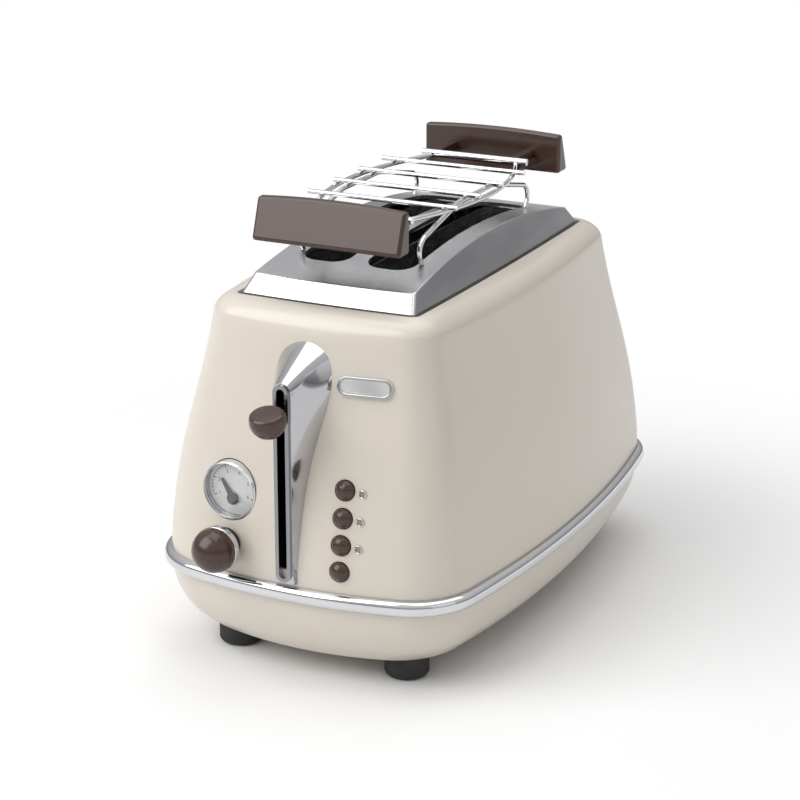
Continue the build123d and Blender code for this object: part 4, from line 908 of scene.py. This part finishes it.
class TOASTER_OT_gauge(Piece):
    """Make the browning gauge with its dial, figures, glass and bezel"""

    bl_idname = "toaster.gauge"
    bl_label = "Browning gauge"

    def make(self):
        """Turned bezel and glass, printed scale, and the needle."""
        out = (0, -1, 0)
        seat, bore = GAUGE_FRONT - 0.8, GAUGE_R - 1.15
        shoulder, edge = GAUGE_FRONT + 0.9, 0.6
        bezel = [(seat, bore), (seat, GAUGE_R), (shoulder, GAUGE_R)]
        bezel += arc(shoulder, GAUGE_R - edge, edge, 90, 0, 6)
        bezel += [(GAUGE_FRONT + 1.75, GAUGE_R - 0.75), (GAUGE_FRONT + 0.6, GAUGE_R - 1.1), (seat, bore)]
        ring = turned("gauge_ring", (GAUGE_X, 0, GAUGE_Z), out, bezel, chrome())
        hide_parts("gauge_bezel")
        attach(ring, "toaster_body")
        cad("gauge_cup", chrome())
        glass_mat = finish("gauge_glass", (0.97, 0.98, 0.98), 0.03, clear=1.0, spread=0.01, bump=0.0)
        rim, foot = GAUGE_R - 1.25, GAUGE_FRONT - 0.75
        big = (rim**2 + GLASS_RISE**2) / (2 * GLASS_RISE)
        front = GAUGE_FRONT + GLASS_RISE
        angle = math.degrees(math.asin(rim / big))
        glass = [(foot, rim)] + arc(front - big, 0, big, angle, 0, 16)
        glass += arc(front - big, 0, big - GLASS_WALL, 0, angle * 0.985, 16) + [(foot, rim)]
        dome = turned("gauge_dome", (GAUGE_X, 0, GAUGE_Z), out, glass, glass_mat, smooth=60)
        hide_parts("gauge_glass")
        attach(dome, "toaster_body")
        dial_mat = finish("dial_face", colours().dial, 0.35, spread=0.03, grain=(40, 40, 40), bump=0.01)
        cad("gauge_dial", dial_mat)
        self.scale()
        self.pointer(out)

    def pointer(self, out):
        """Tapered needle with a round tip, on a broad hub with its spindle."""
        grey = finish("needle_paint", (0.075, 0.07, 0.07), 0.4, spread=0.1, grain=(300, 300, 300))
        low, high = DIAL_Y + 0.6, DIAL_Y + 1.1
        around = []
        for n in range(13):
            a = math.radians(90 - 15 * n)
            around.append((NEEDLE_REACH + NEEDLE_TIP_R * math.cos(a), NEEDLE_TIP_R * math.sin(a)))
        half, tail = NEEDLE_HALF_WIDTH, NEEDLE_TAIL
        around += [(0.0, -half), (-tail, -half), (-tail, half), (0.0, half)]
        turn = math.radians(90 + NEEDLE_REST)
        bm = bmesh.new()
        made = []
        for level in (low, high):
            ring = []
            for u, v in around:
                x = GAUGE_X + u * math.cos(turn) - v * math.sin(turn)
                z = NEEDLE_Z + u * math.sin(turn) + v * math.cos(turn)
                ring.append(bm.verts.new((x * MM, -level * MM, z * MM)))
            made.append(ring)
        for n in range(len(around)):
            m = (n + 1) % len(around)
            bm.faces.new((made[0][n], made[0][m], made[1][m], made[1][n]))
        bm.faces.new(made[0])
        bm.faces.new(made[1])
        blade = new_object("needle_blade", bm, grey)
        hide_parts("gauge_needle")
        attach(blade, "needle")
        hub = [(SPINDLE_END, 0), (SPINDLE_END, SPINDLE_R), (low, SPINDLE_R), (low, HUB_R)]
        hub += arc(low + 0.9, 2.5, 0.5, 90, 0, 6) + [(low + 1.45, 0)]
        cap = turned("needle_hub", (GAUGE_X, 0, NEEDLE_Z), out, hub, grey)
        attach(cap, "needle")

    def scale(self):
        """Ticks, arc and figures printed on the dial."""
        bm = bmesh.new()
        level = -(DIAL_Y + 0.03) * MM

        def quad(points):
            """Flat mark on the dial."""
            bm.faces.new([bm.verts.new((x * MM, level, z * MM)) for x, z in points])

        def polar(a, r):
            """Point on the dial from its centre."""
            return (GAUGE_X + r * math.cos(a), GAUGE_Z + r * math.sin(a))

        width = sizes().mark / MM
        for n in range(TICKS + 1):
            a = math.radians(mix(SCALE_START, SCALE_END, n / TICKS))
            long = n % TICKS_PER_FIGURE == 0
            half = width * (0.8 if long else 0.45) / 2
            dx, dz = -math.sin(a) * half, math.cos(a) * half
            px, pz = polar(a, LONG_TICK_INNER if long else TICK_INNER)
            qx, qz = polar(a, TICK_OUTER)
            quad([(px - dx, pz - dz), (qx - dx, qz - dz), (qx + dx, qz + dz), (px + dx, pz + dz)])
        for n in range(SCALE_STEPS):
            a, b = (math.radians(mix(SCALE_START, SCALE_END, k / SCALE_STEPS)) for k in (n, n + 1))
            quad([polar(a, TICK_OUTER), polar(b, TICK_OUTER), polar(b, SCALE_OUTER), polar(a, SCALE_OUTER)])
        marks = new_object("dial_marks", bm, ink())
        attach(marks, "toaster_body")
        spaces = TICKS // TICKS_PER_FIGURE
        for n in range(spaces + 1):
            a = math.radians(mix(SCALE_START, SCALE_END, n / spaces))
            x, z = polar(a, FIGURE_R)
            text = bpy.data.curves.new(f"figure_{n + 1}", "FONT")
            text.body = str(n + 1)
            text.size = sizes().figure
            text.align_x = "CENTER"
            text.align_y = "CENTER"
            holder = bpy.data.objects.new("holder", text)
            bpy.context.scene.collection.objects.link(holder)
            graph = bpy.context.evaluated_depsgraph_get()
            mesh = bpy.data.meshes.new_from_object(holder.evaluated_get(graph))
            bpy.data.objects.remove(holder)
            mesh.transform(Matrix.Rotation(math.radians(90), 4, "X"))
            mesh.transform(Matrix.Translation((x * MM, level + FRAME_Y * MM, z * MM)))
            mesh.materials.clear()
            mesh.materials.append(ink())
            figure = bpy.data.objects.new(f"figure_{n + 1}", mesh)
            bpy.context.scene.collection.objects.link(figure)
            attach(figure, "toaster_body")


class TOASTER_OT_browning_knob(Piece):
    """Make the round browning knob and its ring"""

    bl_idname = "toaster.browning_knob"
    bl_label = "Browning knob"

    def make(self):
        """Turned ball with a flat back, on a chrome ring."""
        out = (0, -1, 0)
        r, back, edge = KNOB_R, KNOB_BACK, COLLAR_EDGE
        start = math.degrees(math.acos((back - KNOB_CENTRE) / r))
        profile = [(back, KNOB_BORE_R), (back, r * math.sin(math.radians(start)) - 0.4)]
        profile += arc(KNOB_CENTRE, 0, r, start - 2, 0, 48)
        ball = turned("browning_ball", (GAUGE_X, 0, KNOB_Z), out, profile, brown())
        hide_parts("browning_knob")
        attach(ball, "browning_control")
        ring = [(back - COLLAR_THICK, KNOB_BORE_R)]
        ring += arc(back - COLLAR_THICK + edge, r - edge, edge, 180, 90, 6)
        ring += arc(back - edge, r - edge, edge, 90, 0, 6)
        ring += [(back, KNOB_BORE_R)]
        collar = turned("knob_collar", (GAUGE_X, 0, KNOB_Z), out, ring, chrome())
        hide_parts("knob_ring")
        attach(collar, "browning_control")


class TOASTER_OT_buttons(Piece):
    """Make the push buttons and the rings of the lights"""

    bl_idname = "toaster.buttons"
    bl_label = "Buttons and lights"

    def make(self):
        """Turned domes on their stems, and small bright rings."""
        out = (0, -1, 0)
        big = (BUTTON_R**2 + BUTTON_RISE**2) / (2 * BUTTON_RISE)
        angle = math.degrees(math.asin(BUTTON_R / big))
        for name, z in BUTTON_LEVELS.items():
            face = face_y(BUTTON_X, z)
            profile = [(STEM_END, 0), (STEM_END, STEM_R), (face - 5.2, STEM_R), (face - 5.2, FLANGE_R)]
            profile += [(face - 4.0, FLANGE_R), (face - 4.0, STEM_R), (face - 2.0, STEM_R)]
            profile += [(face - 2.0, BUTTON_R), (face + 0.25, BUTTON_R)]
            profile += arc(face + BUTTON_PROUD - big, 0, big, angle - 3, 0, 18)
            dome = turned(f"dome_{name}", (BUTTON_X, 0, z), out, profile, brown())
            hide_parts(name)
            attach(dome, BUTTON_BODIES[name])
        for n, z in enumerate(LED_LEVELS):
            near = face_y(LED_X, z)
            back, shoulder = near - LED_DEPTH, near + LED_EDGE
            profile = [(back, LED_BORE_R), (back, LED_R), (shoulder, LED_R)]
            profile += arc(shoulder, LED_R - LED_EDGE, LED_EDGE, 90, 0, 5)
            profile += [(shoulder, LED_BORE_R), (back, LED_BORE_R)]
            ring = turned(f"light_ring_{n}", (LED_X, 0, z), out, profile, chrome())
            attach(ring, "toaster_body")
            if n == 0:
                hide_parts("light_rings")


class TOASTER_OT_badge(Piece):
    """Finish the blank badge and add its double border"""

    bl_idname = "toaster.badge"
    bl_label = "Badge"

    def make(self):
        """Satin plate with two fine borders that follow the shell."""
        cad("badge_plate", finish("badge_satin", (0.66, 0.66, 0.65), 0.42, metal=0.85, spread=0.03))
        edge = finish("badge_edge", (0.42, 0.42, 0.42), 0.28, metal=1.0, spread=0.03, bump=0.01)
        for n, (half, r, wire) in enumerate(BADGE_BORDERS):
            points = []
            for side in (1, -1):
                for k in range(BADGE_TURN_STEPS + 1):
                    a = math.radians(mix(90, -90, k / BADGE_TURN_STEPS))
                    x = BADGE_X + side * (half - r + r * math.cos(a))
                    z = BADGE_Z + side * r * math.sin(a)
                    points.append((x, -(face_y(x, z) + BADGE_PROUD), z))
                for k in range(1, BADGE_SIDE_STEPS):
                    x = BADGE_X + side * mix(half - r, r - half, k / BADGE_SIDE_STEPS)
                    z = BADGE_Z - side * r
                    points.append((x, -(face_y(x, z) + BADGE_PROUD), z))
            border = tube(f"badge_border_{n}", points, wire, edge, closed=True)
            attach(border, "toaster_body")


class TOASTER_OT_rack(Piece):
    """Finish the warming rack"""

    bl_idname = "toaster.rack"
    bl_label = "Warming rack"

    def make(self):
        """Chrome wires and brown handles."""
        for name in ("rack_bars", "rack_rails", "rack_legs"):
            cad(name, wire_chrome())
        for name in ("rack_handle_front", "rack_handle_rear"):
            cad(name, brown())


class TOASTER_OT_stage(Piece):
    """Set up the floor, the lights and the camera"""

    bl_idname = "toaster.stage"
    bl_label = "Stage"

    def make(self):
        """Pale floor, soft studio light and the camera of the picture."""
        scene = bpy.context.scene
        bm = bmesh.new()
        bmesh.ops.create_grid(bm, x_segments=8, y_segments=8, size=FLOOR_SIZE)
        floor_mat = finish(
            "studio_floor", colours().floor, 0.5, spread=0.004, grain=(3, 3, 3), bump=0.0, specular=0.2
        )
        self.fade(floor_mat)
        floor = new_object("studio_floor", bm, floor_mat)
        for name, place, target, size, power in LIGHTS:
            self.light(name, place, target, size, power)
        self.world(scene)
        camera_data = bpy.data.cameras.new("camera")
        camera_data.lens = CAMERA_LENS
        camera_data.sensor_width = CAMERA_SENSOR
        camera = bpy.data.objects.new("camera", camera_data)
        scene.collection.objects.link(camera)
        azimuth, elevation = math.radians(CAMERA_AZIMUTH), math.radians(CAMERA_ELEVATION)
        level = math.cos(elevation)
        back = Vector((math.sin(azimuth) * level, -math.cos(azimuth) * level, math.sin(elevation)))
        x, y, z = CAMERA_TARGET
        target = Vector((x, FRAME_Y + y, z)) * MM
        camera.location = target + back * CAMERA_DISTANCE
        camera.rotation_euler = (-back).to_track_quat("-Z", "Y").to_euler()
        scene.camera = camera
        scene.view_settings.view_transform = "Standard"

    def fade(self, mat):
        """Let the floor run out into plain white away from the object, as seen and as mirrored."""
        nodes, links = mat.node_tree.nodes, mat.node_tree.links
        coords = nodes.new("ShaderNodeTexCoord")
        away = nodes.new("ShaderNodeVectorMath")
        away.operation = "LENGTH"
        links.new(coords.outputs["Object"], away.inputs[0])
        far = nodes.new("ShaderNodeMapRange")
        far.interpolation_type = "SMOOTHSTEP"
        far.inputs["From Min"].default_value = FLOOR_FADE[0]
        far.inputs["From Max"].default_value = FLOOR_FADE[1]
        links.new(away.outputs["Value"], far.inputs["Value"])
        path = nodes.new("ShaderNodeLightPath")
        seen = path.outputs["Is Camera Ray"]
        for ray in ("Is Glossy Ray", "Is Transmission Ray"):
            either = nodes.new("ShaderNodeMath")
            either.operation = "MAXIMUM"
            links.new(seen, either.inputs[0])
            links.new(path.outputs[ray], either.inputs[1])
            seen = either.outputs["Value"]
        share = nodes.new("ShaderNodeMath")
        share.operation = "MULTIPLY"
        links.new(far.outputs["Result"], share.inputs[0])
        links.new(seen, share.inputs[1])
        white = nodes.new("ShaderNodeEmission")
        white.inputs["Color"].default_value = WHITE
        blend = nodes.new("ShaderNodeMixShader")
        links.new(share.outputs["Value"], blend.inputs["Fac"])
        links.new(nodes["Principled BSDF"].outputs["BSDF"], blend.inputs[1])
        links.new(white.outputs["Emission"], blend.inputs[2])
        links.new(blend.outputs["Shader"], nodes["Material Output"].inputs["Surface"])

    def light(self, name, place, target, size, power):
        """Square soft light aimed at a point."""
        data = bpy.data.lights.new(name, "AREA")
        data.energy = power
        data.size = size
        lamp = bpy.data.objects.new(name, data)
        lamp.location = place
        lamp.rotation_euler = (Vector(target) - Vector(place)).to_track_quat("-Z", "Y").to_euler()
        bpy.context.scene.collection.objects.link(lamp)

    def world(self, scene):
        """White behind the object, a soft grey room in reflections."""
        world = bpy.data.worlds.new("studio")
        world.use_nodes = True
        nodes, links = world.node_tree.nodes, world.node_tree.links
        background = nodes["Background"]
        coords = nodes.new("ShaderNodeTexCoord")
        split = nodes.new("ShaderNodeSeparateXYZ")
        links.new(coords.outputs["Generated"], split.inputs["Vector"])
        height = nodes.new("ShaderNodeMapRange")
        height.inputs["From Min"].default_value = -1.0
        height.inputs["From Max"].default_value = 1.0
        links.new(split.outputs["Z"], height.inputs["Value"])
        room = nodes.new("ShaderNodeValToRGB")
        stops = room.color_ramp.elements
        first, *between, last = ROOM_TONES
        stops[0].position, stops[0].color = first
        stops[1].position, stops[1].color = last
        for place, tone in between:
            stops.new(place).color = tone
        links.new(height.outputs["Result"], room.inputs["Fac"])
        path = nodes.new("ShaderNodeLightPath")
        seen = nodes.new("ShaderNodeMath")
        seen.operation = "MAXIMUM"
        links.new(path.outputs["Is Camera Ray"], seen.inputs[0])
        links.new(path.outputs["Is Transmission Ray"], seen.inputs[1])
        choose = nodes.new("ShaderNodeMix")
        choose.data_type = "RGBA"
        links.new(seen.outputs["Value"], choose.inputs["Factor"])
        glossy = nodes.new("ShaderNodeMix")
        glossy.data_type = "RGBA"
        links.new(path.outputs["Is Glossy Ray"], glossy.inputs["Factor"])
        glossy.inputs[6].default_value = ROOM_DIFFUSE
        links.new(room.outputs["Color"], glossy.inputs[7])
        links.new(glossy.outputs[2], choose.inputs[6])
        choose.inputs[7].default_value = WHITE
        links.new(choose.outputs[2], background.inputs["Color"])
        background.inputs["Strength"].default_value = 1.0
        scene.world = world


OPERATORS = (
    TOASTER_OT_shell,
    TOASTER_OT_base,
    TOASTER_OT_belt,
    TOASTER_OT_top,
    TOASTER_OT_lever,
    TOASTER_OT_gauge,
    TOASTER_OT_browning_knob,
    TOASTER_OT_buttons,
    TOASTER_OT_badge,
    TOASTER_OT_rack,
    TOASTER_OT_stage,
)


class TOASTER_PT_panel(bpy.types.Panel):
    """Sidebar list of the toaster's pieces."""

    bl_idname = "TOASTER_PT_panel"
    bl_label = "Two-slice toaster"
    bl_space_type = "VIEW_3D"
    bl_region_type = "UI"
    bl_category = "Toaster"

    def draw(self, context):
        """List the settings and the operators."""
        for group in (context.scene.toaster_colours, context.scene.toaster_sizes):
            for name in group.__annotations__:
                self.layout.prop(group, name)
        for operator in OPERATORS:
            self.layout.operator(operator.bl_idname)


CLASSES = (TOASTER_PG_colours, TOASTER_PG_sizes) + OPERATORS + (TOASTER_PT_panel,)


def register():
    """Register the classes and the scene's settings."""
    for cls in CLASSES:
        bpy.utils.register_class(cls)
    bpy.types.Scene.toaster_colours = bpy.props.PointerProperty(type=TOASTER_PG_colours)
    bpy.types.Scene.toaster_sizes = bpy.props.PointerProperty(type=TOASTER_PG_sizes)


def unregister():
    """Take the settings and the classes away again."""
    del bpy.types.Scene.toaster_colours
    del bpy.types.Scene.toaster_sizes
    for cls in reversed(CLASSES):
        bpy.utils.unregister_class(cls)


def main():
    """Make every piece in order."""
    register()
    for operator in OPERATORS:
        space, name = operator.bl_idname.split(".")
        getattr(getattr(bpy.ops, space), name)()


if __name__ == "__main__":
    main()
